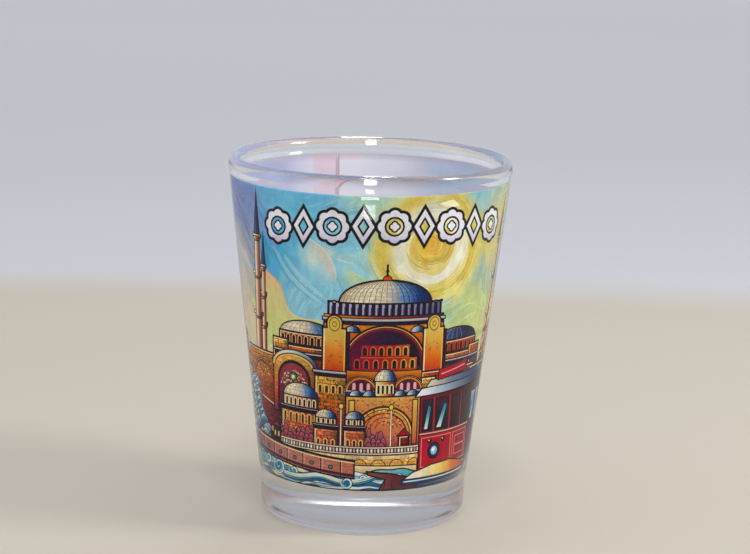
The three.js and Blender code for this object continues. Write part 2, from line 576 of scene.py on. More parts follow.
def clouds(sheet):
    """Folds in the sky left of the sun, each crisp on its right and melting into the sky on its left."""
    bank = [(-19.4, 43.6), (-17.2, 42.8), (-15.2, 41.4), (-14.2, 39.2), (-13.0, 37.2), (-10.6, 36.4)]
    edge = smoothed(bank + [(-7.2, 36.6)])
    light = upward(33, 43, 0xD4DC8C, 0xDCDA90, 0xE2D294, 0xEEC690)
    sheet.fill([(-19.4, 31.0), (-7.2, 31.0)] + edge[::-1], light)
    sheet.line(edge, tapered(0.34), upward(36, 43, 0xE6E0B0, 0xE0AE84))

    billow = [(-11.6, 50.4), (-9.0, 49.4), (-6.8, 47.8), (-5.4, 45.6), (-5.0, 43.6), (-5.9, 42.6)]
    crest = smoothed(billow + [(-7.4, 42.2)])
    crisp = crest[:28]

    def glow(x, z):
        return 0.7 * smooth(-10.4, -5.2, x + 0.35 * (z - 46)) * smooth(41.6, 45.5, z)

    sheet.fill(crest + [(-9.4, 42.4), (-11.4, 44.0), (-12.4, 47.2)], wash(sheet, 0xF0D2B8, glow))
    sheet.line(crisp, tapered(0.3), wash(sheet, 0xF6E6D0, lambda x, z: 0.75))

    for shift, tone, width, top in BENDS:
        bend = smoothed([
            (-18.4 + shift * 1.5, top),
            (-16.6 + shift, 47.0 - shift * 0.4),
            (-13.8 + shift, 43.2),
            (-10.6 + shift, 40.8),
            (-7.8 + shift, 39.2),
        ])
        sheet.line(bend, tapered(width), wash(sheet, tone, lambda x, z: 0.38))

    middle = math.radians(SUN[0]) * wall(SUN[1])
    for dx, dz, reach in ((0.4, 0.2, 3.0), (-0.3, 0.6, 4.4), (0.2, -0.2, 7.7), (0.0, 0.3, 8.8)):
        for start in (200, 300):
            turn = arc(middle + dx, SUN[1] + dz, reach, reach, start, start + 70, 16)
            below = [p for p in turn if p[1] < 56]
            sheet.line(below, tapered(0.3), wash(sheet, 0xC89A38, lambda x, z: 0.5))


# ---------------------------------------------------------------- motifs


def dome(sheet, x, z, half, height, tones, ribs, spike=0.0, line=0.22):
    """A tiled dome lit from the left, with an optional ball and spike on top."""
    body = arc(x, z, half, height, 0, 180, 18)
    sheet.fill(body, stone(across(x - half, x + half, *tones), 0.45))
    for i in range(1, ribs):
        lean = math.radians(-80 + 160 * i / ribs)
        rib = [
            (x + half * math.sin(lean) * math.cos(a), z + height * math.sin(a))
            for a in [math.radians(84 * k / 7) for k in range(8)]
        ]
        sheet.line(rib, line * 0.35, 0xA08A66 if i < ribs * 0.6 else INK)
    sheet.line(body, line, closed=True)
    if spike:
        top = z + height
        sheet.drawn(arc(x, top - 0.1, spike * 0.42, spike * 0.5, 0, 180, 8), EMBER, line * 0.6)
        sheet.line([(x, top + spike * 0.3), (x, top + spike * 1.5)], line * 1.1)
        sheet.fill(oval(x, top + spike * 0.85, spike * 0.17, spike * 0.17, 8), INK)
        sheet.fill(oval(x, top + spike * 1.2, spike * 0.11, spike * 0.11, 8), INK)


def window_row(sheet, x0, x1, z, count, width, height, pane, trim=None):
    """Round-headed windows in a row, each framed by a band of trim round its head and sides when one is
    given.
    """
    step = (x1 - x0) / count
    for i in range(count):
        x = x0 + step * (i + 0.5)
        if trim:
            sheet.fill(arched(x, z, width + 0.3, height + 0.18, 6), trim)
        sheet.fill(arched(x, z, width, height, 6), pane)


def specks(sheet, rng, x0, z0, x1, z1, count, paint=PLUM):
    """Small dark holes and missing stones."""
    for _ in range(count):
        x, z = rng.uniform(x0 + 0.2, x1 - 0.3), rng.uniform(z0 + 0.2, z1 - 0.3)
        sheet.fill(rect(x, z, x + rng.uniform(0.12, 0.3), z + rng.uniform(0.12, 0.24)), paint)


def mosaic(sheet, rng, x, z, radius, count, tones):
    """Coloured chips scattered over a half-round field."""
    for _ in range(count):
        turn = rng.uniform(0, math.pi)
        reach = radius * math.sqrt(rng.uniform(0.02, 1))
        size = rng.uniform(0.12, 0.26)
        px, pz = x + reach * math.cos(turn), z + reach * math.sin(turn)
        sheet.fill(rect(px, pz, px + size, pz + size * 0.8), rng.choice(tones))


def cornice(sheet, x0, x1, z, height=0.5):
    """A pale moulding that throws a dark shadow on the wall under it."""
    sheet.fill(rect(x0 + 0.2, z - 0.6, x1 - 0.2, z), SHADOW)
    sheet.drawn(rect(x0, z, x1, z + height), upward(z, z + height, SLATE, PALE), 0.2)


def block(sheet, x0, z0, x1, z1, tones=SUNLIT):
    """A masonry wall with a lit edge inside its outline and shade on its right."""
    sheet.drawn(rect(x0, z0, x1, z1), stone(shaded(upward(z0, z1, *tones), x0, x1)), HEAVY)
    edge = 0.26
    sheet.line([(x0 + edge, z0 + edge), (x0 + edge, z1 - edge), (x1 - edge, z1 - edge)], 0.13, CREAM)


def slender_tower(sheet, x, z0, z1, width):
    """A tall thin tower with a pointed cap and three ringed balconies."""
    half = width / 2
    left, right = x - half, x + half
    cap = z1 - (z1 - z0) * 0.26
    for share, top, girth in ((0, 0.42, 1.0), (0.4, 0.72, 0.86), (0.7, 1.0, 0.74)):
        low, high = z0 + (cap - z0) * share, z0 + (cap - z0) * top
        body = rect(x - half * girth, low, x + half * girth, high)
        sheet.drawn(body, across(left, right, ROSE, CREAM, 0xD98F5A, 0x9A4A3A, PLUM), 0.18)
        sheet.line([(x - half * 0.3, low + 0.3), (x - half * 0.3, high)], 0.12, WHITE)
        balcony = trapezoid(x, half * girth * 0.9, high - 0.75, half * girth * 1.5, high)
        sheet.drawn(balcony, across(left, right, CREAM, RUST, PLUM), 0.15)
        rail = rect(x - half * girth * 1.55, high, x + half * girth * 1.55, high + 0.5)
        sheet.drawn(rail, across(left, right, WHITE, HONEY, RUST), 0.15)
    roof = trapezoid(x, half * 0.85, cap + 0.4, 0.06, z1 - 1.0)
    sheet.drawn(roof, across(left, right, SLATE, NIGHT, INK), 0.16)
    sheet.line([(x, z1 - 1.4), (x, z1)], 0.15)
    sheet.fill(oval(x, z1 - 0.8, 0.2, 0.2, 8), INK)


def drum(sheet, x0, x1, z0, z1, count):
    """A ring of windows between pale piers with scalloped heads."""
    tall = z1 - z0
    pier = across(x0, x1, 0xCFC6DE, 0xA6A2C6, 0x5C5488)
    sheet.fill(rect(x0, z0, x1, z1), across(x0, x1, 0x1E1A3A, INK, INK))
    step = (x1 - x0) / count
    for i in range(count):
        x = x0 + step * (i + 0.5)
        sheet.fill(arched(x, z0 + 0.12, step * 0.4, tall * 0.84, 6), pier)
        sheet.fill(rect(x + step * 0.06, z0 + 0.12, x + step * 0.2, z0 + tall * 0.6), 0x54508A)
        sheet.drawn(oval(x + step / 2, z1 - 0.08, step * 0.3, 0.24, 8), pier, 0.1)
    sheet.line(rect(x0, z0, x1, z1), 0.2, closed=True)


def ringed_arch(sheet, x, z, radius, inside, rings):
    """Half-round bands, outermost first, round an inside. Each is (share of the radius, paint)."""
    for share, paint in rings:
        band = arc(x, z, radius * share, radius * share, 0, 180, 22)
        sheet.fill(band, paint)
        sheet.line(band, 0.16)
    share, paint = inside
    sheet.fill(arc(x, z, radius * share, radius * share, 0, 180, 22), paint)


def round_gable(sheet, rng, x0, x1, z0, z1, inside):
    """A wall with a curved top under a pale coping, round a big arch with a mosaic in its head."""
    middle, half = (x0 + x1) / 2, (x1 - x0) / 2
    tall, width = z1 - z0, half * 1.5
    spring = z1 - half * 0.62
    crown = arc(middle, spring, half, half * 0.62, 0, 180, 16)
    sheet.drawn([(x0, z0), (x1, z0)] + crown, stone(shaded(upward(z0, z1, *SUNLIT), x0, x1), 0.6), HEAVY)
    sheet.line(crown, 0.85)
    sheet.line(crown, 0.45, across(x0, x1, HONEY, PALE, STEEL, NAVY))
    sheet.line(arc(middle, spring, half * 0.84, half * 0.5, 8, 172, 14), 0.22, HONEY)
    sheet.drawn(arched(middle, z0 + 0.2, width, tall * 0.84, 12), SHADOW, 0.2)
    sheet.drawn(arched(middle, z0 + 0.2, width - 0.6, tall * 0.84 - 0.35, 12), inside, 0.16)
    heart = z0 + tall * 0.5
    mosaic(sheet, rng, middle, heart - 0.6, width * 0.42, 260, (CREAM, ROSE, GREEN, ORANGE, 0xC87A6A, INK))
    for radius, colour in ((0.9, INK), (0.7, GREEN), (0.35, CREAM)):
        sheet.fill(petals(middle, heart + 1.1, radius, 6, 0.2), colour)


def buttress(sheet, rng, x0, x1, z0, z1):
    """A tall wall pier with a round head, golden above and red at its foot."""
    middle, half = (x0 + x1) / 2, (x1 - x0) / 2
    shoulder = z1 - half * 1.1
    low, high = z0 + 0.25, shoulder - 0.3
    sheet.fill(rect(x1, z0 - 0.3, x1 + 0.6, shoulder - 0.4), SHADOW)
    tones = upward(z0, shoulder, 0xC03A3A, 0xDC6238, 0xE08E42, 0xDEB055, 0xDABC64)
    sheet.drawn(arched(middle, z0 + 1, half * 1.3, z1 - z0 - 1, 10), tones, 0.28)
    sheet.drawn(rect(x0, z0, x1, shoulder), tones, 0.28)
    sheet.fill(arched(middle, z0 + 0.9, half * 1.1, z1 - z0 - 1.2, 10), tones)
    sheet.line([(x0 + 0.3, low), (x0 + 0.3, high)], 0.2, CREAM)
    sheet.line([(x1 - 0.28, low), (x1 - 0.28, high), (middle + half * 0.6, high)], 0.14, HONEY)
    head = z1 - half * 0.78
    for radius, colour in ((0.48, 0x8A5E24), (0.4, 0xE0C060), (0.2, 0x9A6A28), (0.13, 0xE0C060)):
        sheet.fill(oval(middle, head, half * radius, half * radius * 1.3, 14), colour)
    specks(sheet, rng, x0 + 0.6, z0 + 1.4, x1 - 0.6, shoulder - 1.4, 7, RUST)
    cornice(sheet, x0 - 0.35, x1 + 0.35, z0 - 0.45)


def boxes_at(x, z, unit):
    """A function that takes a box in a motif's own units to its place on the sheet."""
    return lambda x0, z0, x1, z1: (x + x0 * unit, z + z0 * unit, x + x1 * unit, z + z1 * unit)


def hall_wing(sheet, x, z, unit, side, fall, cap, face, trim):
    """A lower domed wing beside a hall's main wall, on the left (side -1) or the right (side 1)."""
    at = boxes_at(x, z, unit)
    middle = x + side * 13.0 * unit
    inner, outer = sorted((side * 9.0, side * 19.5))
    dome(sheet, middle, z + (4.5 - fall) * unit, 5.1 * unit, 2.2 * unit, cap, 12)
    left, right = middle - 5.3 * unit, middle + 5.3 * unit
    block(sheet, left, z + (2.4 - fall) * unit, right, z + (4.6 - fall) * unit, (INK, WINE, BRICK))
    sill = z + (2.75 - fall) * unit
    window_row(sheet, left + 0.2, right - 0.2, sill, 9, 0.55 * unit, 1.3 * unit, INK, trim)
    block(sheet, *at(inner, -3.0, outer, 2.4 - fall), face)
    step = sorted((side * 19.8, side * 16.4))
    block(sheet, *at(step[0], -2.0, step[1], 3.2 - fall), SUNLIT if side < 0 else RUDDY)
    cornice(sheet, x + (inner - 0.2) * unit, x + (outer + 0.2) * unit, z + (1.0 - fall) * unit, 0.4)


def hall_galleries(sheet, x, z, unit):
    """Two rows of windows inside a hall's great arch."""
    for row, count, half in ((1.75, 6, 3.9), (-0.4, 7, 5.2)):
        left, right, base = x - half * unit, x + half * unit, z + row * unit
        tones = across(left, right, 0x8A1846, 0xAA203E, 0xBA3E36, 0xC8683C)
        sheet.fill(rect(left, base - 0.3 * unit, right, base + 1.75 * unit), stone(tones, 0.5))
        trim = across(left, right, 0xC83A34, 0xE88A3A, HONEY)
        # the window openings are filled with painted shade
        window_row(sheet, left, right, base, count, 0.66 * unit, 1.35 * unit, DEEP_SHADE, trim)
        sheet.line([(left, base - 0.35 * unit), (right, base - 0.35 * unit)], 0.2, 0xD8622E)


def hall(sheet, rng, x, z, width, tones=PALE_DOME):
    """A great domed hall. x and z are the middle of its arch's springing line, width is its main wall's."""
    unit = width / 20
    at = boxes_at(x, z, unit)
    hall_wing(sheet, x, z, unit, -1, 0.0, PALE_DOME, RUDDY, 0xE8B27A)
    hall_wing(sheet, x, z, unit, 1, 1.1, DARK_DOME, DUSKY, EMBER)
    body = at(-9.9, -2.2, 9.9, 7.0)
    face = upward(body[1], body[3], INK, PLUM, 0x8C2A3C, 0xD4622E, 0xEA9A46)
    sheet.drawn(rect(*body), stone(face, 0.4), HEAVY)
    for side in (-1, 1):
        mosaic(sheet, rng, x + side * 5.0 * unit, z + 5.2 * unit, 1.5 * unit, 26, (INK, RUST, HONEY))
    # painted shade: the arch's hollow darkens to near-black towards the right
    recess = across(x - 7 * unit, x + 5 * unit, 0x6A1038, 0x2A0E34, DEEP_SHADE)
    rings = [(1.0, INK), (0.975, HONEY), (0.935, 0xB8303A), (0.89, 0x6E1636)]
    ringed_arch(sheet, x, z - 0.1, 6.9 * unit, (0.86, recess), rings)
    hall_galleries(sheet, x, z, unit)
    sheet.fill(rect(*at(-5.8, -1.6, 5.8, -0.8)), INK)
    sheet.line([(x - 5.8 * unit, z - 1.15 * unit), (x + 5.8 * unit, z - 1.15 * unit)], 0.16, STEEL)
    cornice(sheet, x - 10.2 * unit, x + 10.2 * unit, z + 7.3 * unit, 0.55 * unit)
    sheet.drawn(rect(*at(-9.9, 7.85, 9.9, 8.3)), across(x - 10, x + 10, ORANGE, RUST, PLUM), 0.15)
    drum(sheet, x - 9.3 * unit, x + 9.3 * unit, z + 8.3 * unit, z + 10.5 * unit, 18)
    dome(sheet, x, z + 10.3 * unit, 7.5 * unit, 3.9 * unit, tones, 22, 1.7 * unit, 0.3)
    for side in (-1, 1):
        low, high = sorted((x + side * 6.2 * unit, x + side * 10.1 * unit))
        dome(sheet, x + side * 5.3 * unit, z + 5.5 * unit, 1.3 * unit, 1.1 * unit, BLUE_DOME, 5, line=0.2)
        buttress(sheet, rng, low, high, z - 1.6 * unit, z + 8.2 * unit)


def annexe(sheet, x, z, width, height, storeys=2, tones=PALE_DOME):
    """A small round building with a low dome."""
    half = width / 2
    left, right = x - half, x + half
    ledge, top = z + height * 0.56, z + height * 0.77
    tall = ledge - z
    block(sheet, left, z, right, ledge, SALMON)
    windows = max(int(width / 1.1), 3)
    for i in range(storeys):
        base = z + tall * (0.12 + 0.45 * i)
        window_row(sheet, left + 0.2, right - 0.2, base, windows, 0.42, tall * 0.28, PLUM, HONEY)
    cornice(sheet, x - half * 1.08, x + half * 1.08, ledge, 0.32)
    ring = rect(x - half * 0.88, ledge + 0.3, x + half * 0.88, top)
    sheet.drawn(ring, across(left, right, 0xECC49A, 0xC87456, PLUM))
    windows = max(int(width), 3)
    window_row(sheet, x - half * 0.8, x + half * 0.8, ledge + 0.5, windows, 0.4, height * 0.12, INK, CREAM)
    dome(sheet, x, top, half * 0.88, height * 0.23, tones, 8, 0.35, 0.18)


def spray(sheet, rng, x0, z0, width, height):
    """Billows of blue mist and foam against the edge of a scene, broad at the foot and thin above."""
    count = 60
    for i in range(count):
        share = i / count
        reach = width * (0.4 + 0.6 * share) * rng.uniform(0.05, 0.95)
        x, z = x0 + reach, z0 + height * (1 - share) * rng.uniform(0.9, 1.0)
        size = rng.uniform(0.7, 1.5)
        tone = rng.choice((NAVY, SEA, 0x5A84AC, 0x7C9CC0, 0x6A5A8A, 0x6FA08E))
        sheet.drawn(petals(x, z, size, 5, 0.22), upward(z - size, z + size, NIGHT, tone, STEEL), 0.14)
        sheet.line(arc(x, z, size * 0.6, size * 0.55, 60, 190, 8), tapered(0.24), FOAM)


def shrubs(sheet, rng, x0, x1, z, height, tones=(PLUM, 0x8E3A5A, 0xC06A62)):
    """Rounded bushes, the tall ones behind."""
    for size in (1.0, 0.62, 0.36):
        x = x0 + rng.uniform(0.2, 0.5)
        while x < x1:
            tall = height * size * rng.uniform(0.75, 1.1)
            half = rng.uniform(0.45, 0.8)
            sheet.drawn(arc(x, z, half, tall, 0, 180, 9), upward(z, z + tall, *tones), 0.12)
            x += half * rng.uniform(1.1, 1.5)


def balustrade(sheet, x0, x1, z):
    """A pale rail on small posts over a dark gap."""
    height = 0.95
    sheet.fill(rect(x0, z, x1, z + height), PLUM)
    count = int((x1 - x0) / 0.55)
    for i in range(count):
        x = x0 + (x1 - x0) * (i + 0.5) / count
        sheet.fill(oval(x, z + height * 0.45, 0.17, height * 0.5, 8), PALE if i % 3 else 0xC8A494)
    for low, high in ((0.82, 1.16), (-0.28, 0.06)):
        rail = rect(x0, z + height * low, x1, z + height * high)
        sheet.drawn(rail, across(x0, x1, CREAM, 0xE2C2B4, CREAM), 0.12)


def tram(sheet, x, z, scale):
    """A small old red tramcar from its front corner, with no marks on it. x, z is its lower left corner."""
    front, back = 13.0, 19.0  # the front's right edge and the side's, in the tram's own units

    def at(points):
        return [(x + px * scale, z + pz * scale) for px, pz in points]

    def panes(places, low, high, glass, gleams):
        """Windows from low to high, the first few with a streak of light."""
        for i, (left, right) in enumerate(places):
            sheet.drawn(at(rect(left, low, right, high)), upward(z + low * scale, z + high * scale, *glass))
            lean = 0.35 * (right - left)
            gleam = [
                (left + 0.25, low + 0.3),
                (left + 0.25 + lean, low + 0.3),
                (right - 0.35, high - 1.4),
                (right - 0.8, high - 1.0),
            ]
            if i < gleams:
                sheet.fill(at(gleam), upward(z + low * scale, z + high * scale, FOAM, TEAL, SEA))

    flank = at([(front, 2.0), (back, 2.6), (back, 16.6), (front, 16.2)])
    sheet.drawn(flank, across(x + front, x + back, PLUM, NIGHT), 0.26)
    panes([(13.6, 15.6), (16.2, 18.2)], 9.1, 14.6, (NIGHT, SEA, STEEL), 2)
    sheet.drawn(at(rect(0.2, 8.7, front, 16.0)), across(x, x + front, 0x7A2430, 0x5A1622, 0x32101E), 0.26)
    panes([(0.9, 2.7), (3.5, 6.2), (7.2, 9.4), (10.2, 12.2)], 9.5, 15.0, (INK, 0x32161E, 0x3A2430), 2)
    for post in (3.1, 6.7, 9.8):
        sheet.line(at([(post, 9.2), (post, 15.4)]), 0.18, 0xA8404C)

    face = across(x, x + front, 0xBE2C36, 0xB0222E, 0x9C1A2C, 0x661226)
    sheet.drawn(at(rect(0.2, 2.4, front, 8.8)), face, 0.28)
    for panel in (rect(0.75, 2.9, 7.4, 8.2), rect(8.0, 2.9, 12.5, 8.2), rect(8.6, 4.0, 11.9, 7.4)):
        sheet.line(at(panel), 0.15, 0xE88A8A, closed=True)
    sheet.line(at([(8.8, 5.7), (11.7, 5.7)]), 0.14, ROSE)
    sheet.line(at([(0.3, 8.95), (front, 8.95)]), 0.22, 0xE6B4A0)

    roof = at([(-0.8, 15.7), (19.4, 16.6), (18.6, 17.8), (8.0, 18.0), (0.4, 17.2)])
    sheet.drawn(roof, across(x, x + front, WHITE, STEEL, SLATE, NIGHT), 0.28)
    upper = at([(1.2, 17.3), (16, 17.9), (15, 19.0), (2.2, 18.6)])
    sheet.drawn(upper, across(x, x + front, CREAM, SLATE, NAVY), 0.22)
    board = at([(3.6, 18.4), (10.6, 19.2), (10.8, 21.4), (3.8, 20.2)])
    sheet.drawn(board, across(x + 2, x + 9, RED, 0x98183A))
    sheet.line(at([(4.3, 19.35), (10.1, 20.3)]), 0.16, ROSE)

    lamp_x, lamp_z = x + 3.4 * scale, z + 5.7 * scale
    for radius, colour in ((1.4, INK), (1.12, 0x1E2A48), (0.7, 0x8FC2E2)):
        sheet.fill(oval(lamp_x, lamp_z, radius * scale, radius * 1.12 * scale), colour)
    sheet.fill(oval(lamp_x - 0.14, lamp_z + 0.18, 0.36 * scale, 0.42 * scale), WHITE)
    for lamp in (2.4, 5.4):
        lamp_x, lamp_z = x + lamp * scale, z + 7.5 * scale
        sheet.drawn(oval(lamp_x, lamp_z, 0.4 * scale, 0.42 * scale, 10), 0x3A1620, 0.2)
        sheet.fill(oval(lamp_x - 0.12, lamp_z + 0.12, 0.14, 0.14, 6), CREAM)

    fender = at([(-2.6, 0.9), (12.4, 1.1), (11.6, 2.4), (7.4, 3.4), (3.0, 3.2), (-0.8, 2.2)])
    sheet.drawn(fender, across(x - 2, x + 12 * scale, WHITE, CREAM, 0xF0D478, 0xE07A3C, 0xB02A34), 0.26)
    skirt = at([(-2.8, 0.0), (13.0, 0.2), (13.0, 1.1), (-2.8, 1.0)])
    sheet.drawn(skirt, across(x, x + 12, NAVY, NIGHT, INK), 0.22)
    sheet.line(at([(-2.4, 0.62), (12.4, 0.75)]), 0.2, FOAM)
    for radius, colour in ((1.3, INK), (1.05, NAVY), (0.5, STEEL)):
        sheet.fill(oval(x + 16 * scale, z + 1.7 * scale, radius * scale, radius * scale), colour)


def sea(sheet, rng, x0, x1, top):
    """Rolling water: long outlined bands that ride over one another, with a few big curls."""
    depth = top - WATER_FOOT

    def swell(x, share):
        return 0.3 * math.sin(0.62 * x + 5 * share) + 0.16 * math.sin(1.4 * x + 11 * share)

    count = int((x1 - x0) / 0.5)
    places = [x1 - (x1 - x0) * i / count for i in range(count + 1)]
    crest = [(x, top + swell(x, 1)) for x in places]
    water = upward(WATER_FOOT, top, NAVY, SEA, TEAL, 0x7FC0CC)
    sheet.drawn([(x0, WATER_FOOT), (x1, WATER_FOOT)] + crest, water)
    bands = int(depth * 3.0)
    for i in range(bands):
        share = (i + 0.7) / (bands + 0.6)
        run = (x1 - x0) * rng.uniform(0.28, 0.55)
        start = rng.uniform(x0 + 0.3, x1 - run - 0.3)
        places = [start + run * k / 22 for k in range(23)]
        points = [(x, max(WATER_FOOT + depth * share + swell(x, share), WATER_FOOT + 0.35)) for x in places]
        sheet.line(points, tapered(0.84))
        sheet.line(points, tapered(0.58), (FOAM, 0x9AD0D8, CREAM, FOAM, TEAL)[i % 5])
    x = x0 + rng.uniform(1.6, 2.4)
    while x < x1 - 1.8:
        radius = depth * rng.uniform(0.28, 0.4)
        low = WATER_FOOT + radius
        z = rng.uniform(low + 0.45, max(top - radius * 0.5, low + 0.5))
        for size, width, colour in ((1.0, 0.74, INK), (1.0, 0.46, FOAM), (0.62, 0.3, TEAL)):
            sheet.line(curl(x, z, radius * size, 1.25, 2.6), tapered(width), colour)
        x += rng.uniform(4.2, 7.0)


# a big wave's bands: (rise above its line, width, colour)
WAVE_BANDS = [
    (0, 1.7, INK),
    (0, 1.45, SEA),
    (0.42, 0.34, FOAM),
    (0.12, 0.3, CREAM),
    (-0.2, 0.26, TEAL),
    (-0.46, 0.22, NAVY),
]


def roller(sheet, points, curls):
    """A long banded wave along points, with big curls riding on it. curls is (x, z, radius)."""
    for rise, width, colour in WAVE_BANDS:
        sheet.line([(x, z + rise) for x, z in points], tapered(width), colour)
    for x, z, radius in curls:
        for size, width, colour in ((1.0, 1.0, INK), (1.0, 0.72, FOAM), (0.94, 0.28, TEAL), (0.5, 0.5, SEA)):
            sheet.line(curl(x, z, radius * size, 1.4, 2.4), tapered(width), colour)


def quay(sheet, x0, x1, z0, z1, drop):
    """A stone quay wall of big blocks, each with a ring bolt. Its top falls by drop from left to right."""
    tones = across(x0, x1, 0x96606A, 0xCE8E7C, 0xC47C60)
    sheet.drawn([(x0, z0), (x1, z0 - drop), (x1, z1 - drop), (x0, z1)], stone(tones, 0.4), 0.28)
    step = 3.3
    for i in range(1, int((x1 - x0) / step) + 1):
        x = x0 + i * step
        fall = drop * (x - x0) / (x1 - x0)
        sheet.line([(x, z0 - fall), (x, z1 - fall)], 0.2)
        sheet.line([(x + 0.2, z0 - fall + 0.2), (x + 0.2, z1 - fall - 0.3)], 0.12, ROSE)
        ring = oval(x - step / 2, (z0 + z1) / 2 - fall, 0.36, 0.3, 10)
        sheet.drawn(ring, SLATE, 0.17)
    for share, colour, width in ((0.96, INK, 0.2), (0.86, CREAM, 0.16), (0.16, PLUM, 0.5)):
        low = z0 + (z1 - z0) * share
        sheet.line([(x0, low), (x1, low - drop)], width, colour)


def sailing_boat(sheet, x, z, size, sail, hull):
    rail = z + size * 0.34
    deck = [(x - size, rail), (x - size * 0.7, z), (x + size * 0.7, z), (x + size, rail)]
    mainsail = [(x + 0.12, z + size * 0.45), (x + size * 0.85, z + size * 0.5), (x + 0.12, z + size * 2.3)]
    jib = [(x - 0.12, z + size * 0.45), (x - 0.12, z + size * 2.0), (x - size * 0.7, z + size * 0.5)]
    sheet.drawn(deck, upward(z, z + size * 0.4, INK, hull), 0.16)
    sheet.line([(x, z + size * 0.3), (x, z + size * 2.5)], 0.16)
    sheet.drawn(mainsail, across(x, x + size, sail, STEEL), 0.15)
    sheet.drawn(jib, across(x - size, x, ROSE, sail), 0.15)


def house(sheet, rng, x, z, width, height):
    """A narrow town house with a gabled roof."""
    face = rng.choice((HONEY, CREAM, ORANGE, ROSE, 0xB9D4C8, 0xE2A07A, GOLD))
    roof = rng.choice((RUST, BRICK, WINE, EMBER))
    top = z + height
    front = across(x, x + width * 1.2, face, face, BRICK, PLUM)
    sheet.drawn(rect(x, z, x + width, top), stone(front, 0.6), 0.2)
    attic = [(x - 0.22, top), (x + width + 0.22, top), (x + width * 0.5, top + width * 0.6)]
    sheet.drawn(attic, stone(across(x, x + width, EMBER, roof, PLUM), 0.8), 0.2)
    rows = max(int(height / 1.3), 1)
    columns = max(int(width / 0.9), 2)
    for r in range(rows):
        for c in range(columns):
            left = x + width * (c + 0.5) / columns - 0.22
            base = z + height * (r + 0.3) / rows
            sheet.fill(rect(left - 0.08, base - 0.08, left + 0.5, base + 0.74), CREAM)
            sheet.fill(rect(left, base, left + 0.42, base + 0.66), INK)
            light = rng.choice((TEAL, HONEY, FOAM))
            sheet.fill(rect(left + 0.06, base + 0.06, left + 0.36, base + 0.28), light)


def hillside(sheet, rng, x0, x1, z, rows):
    """Rows of houses climbing a hill, the far rows first."""
    rise = 2.3  # from one row to the next
    for row in range(rows - 1, -1, -1):
        x = x0 + rng.uniform(0, 1)
        while x < x1 - 2.2:
            width = rng.uniform(1.7, 2.6)
            hump = 1.5 * math.sin((x - x0) / (x1 - x0) * math.pi)
            house(sheet, rng, x, z + row * (rise + hump * 0.6), width, rng.uniform(2.4, 3.6))
            x += width + rng.uniform(-0.1, 0.25)


def round_tower(sheet, rng, x, z, width, height):
    """A broad round stone tower with a gallery and a conical roof."""
    half = width / 2
    body = z + height * 0.66
    tones = across(x - half, x + half, 0xD9A77A, CREAM, 0xE0B078, BRICK, PLUM)
    sheet.drawn(rect(x - half, z, x + half, body), stone(tones))
    specks(sheet, rng, x - half, z + 0.2, x + half, body - 0.3, int(width * 3))
    for share in (0.3, 0.55, 0.8):
        window_row(sheet, x - half, x + half, z + (body - z) * share, 3, 0.5, 1.1, NIGHT, PALE)
    cornice(sheet, x - half * 1.15, x + half * 1.15, body)
    upper = z + height * 0.76
    gallery = rect(x - half * 0.9, body + 0.5, x + half * 0.9, upper)
    sheet.drawn(gallery, across(x - half, x + half, HONEY, RUST, PLUM))
    window_row(sheet, x - half * 0.85, x + half * 0.85, body + 0.7, 5, 0.42, height * 0.06, INK, CREAM)
    slate = across(x - half, x + half, FOAM, TEAL, NAVY, NIGHT)
    sheet.drawn(gable(x, half * 1.05, upper, z + height), stone(slate, 0.5))
    for share in (-0.6, -0.2, 0.2, 0.6):
        sheet.line([(x + half * share, upper), (x, z + height - 0.2)], 0.1)
    sheet.line([(x, z + height - 0.2), (x, z + height + 1.3)], 0.18)


def bridge(sheet, x0, x1, z, spans, rise):
    """A stone bridge of round arches."""
    step = (x1 - x0) / spans
    sheet.drawn(rect(x0, z, x1, z + rise + 1.3), stone(upward(z, z + rise + 1.3, *SUNLIT)))
    for i in range(spans):
        middle = x0 + step * (i + 0.5)
        sheet.drawn(arched(middle, z, step * 0.82, rise + 0.4, 12), CREAM, 0.16)
        sheet.drawn(arched(middle, z, step * 0.68, rise, 12), upward(z, z + rise, NAVY, SEA, NIGHT), 0.18)
    cornice(sheet, x0, x1, z + rise + 1.2)


def gull(sheet, x, z):
    wing, height = 0.7, 0.42
    for side, start, end in ((-1, 175, 20), (1, 160, 5)):
        sheet.line(arc(x + side * wing, z, wing, height, start, end, 6), tapered(0.28))


def frieze(sheet):
    """A shallow arc of white ornaments, open flowers and lozenges in turn. There is no lettering."""
    count, spacing = 9, 4.86
    middle, height, bend = 4.0, 52.2, 0.003
    for i in range(count):
        x = middle + (i - (count - 1) / 2) * spacing
        z = height - bend * (x - middle) ** 2
        shape, opening = petals(x, z, 2.65, 8, 0.15), oval(x, z, 1.3, 1.3, 16)
        if i % 2:
            shape, opening = lozenge(x, z, 1.7, 2.8), lozenge(x, z, 1.7 * 0.36, 2.8 * 0.36)
        sheet.line(shape, 0.95, closed=True)
        sheet.fill(shape, upward(z - 3, z + 3, 0xCFC8DE, WHITE, WHITE))
        sheet.line(opening, 0.62, closed=True)
        sheet.fill(opening, None)
        if i % 2 == 0:
            heart = petals(x, z, 0.72, 4, 0.3)
            sheet.line(heart, 0.5, closed=True)
            sheet.fill(heart, WHITE)


def end_strip(name, side, face, edge):
    """The border at one end of the wrap, on side -1 or 1 of the seam, with a row of small lozenges."""
    sheet = Sheet(name, SEAM + side * END_STRIP / 2, 3)
    low, high = PRINT_LOW[1] + 0.02, PRINT_HIGH[1] - 0.02
    half = math.radians(END_STRIP / 2 - SEAM_HALF) * wall(PRINT_HIGH[1])
    foot = wall(low) / wall(high)
    sheet.fill([(-half * foot, low), (half * foot, low), (half, high), (-half, high)], face)
    for x in (-half + 0.25, half - 0.25):
        sheet.line([(x * foot, low), (x, high)], 0.3, edge)
    count = 12
    for i in range(count):
        z = low + (high - low) * (i + 0.5) / count
        sheet.drawn(lozenge(0, z, 0.7, 1.1), edge, 0.14)
    return sheet


# ---------------------------------------------------------------- the four sides of the picture

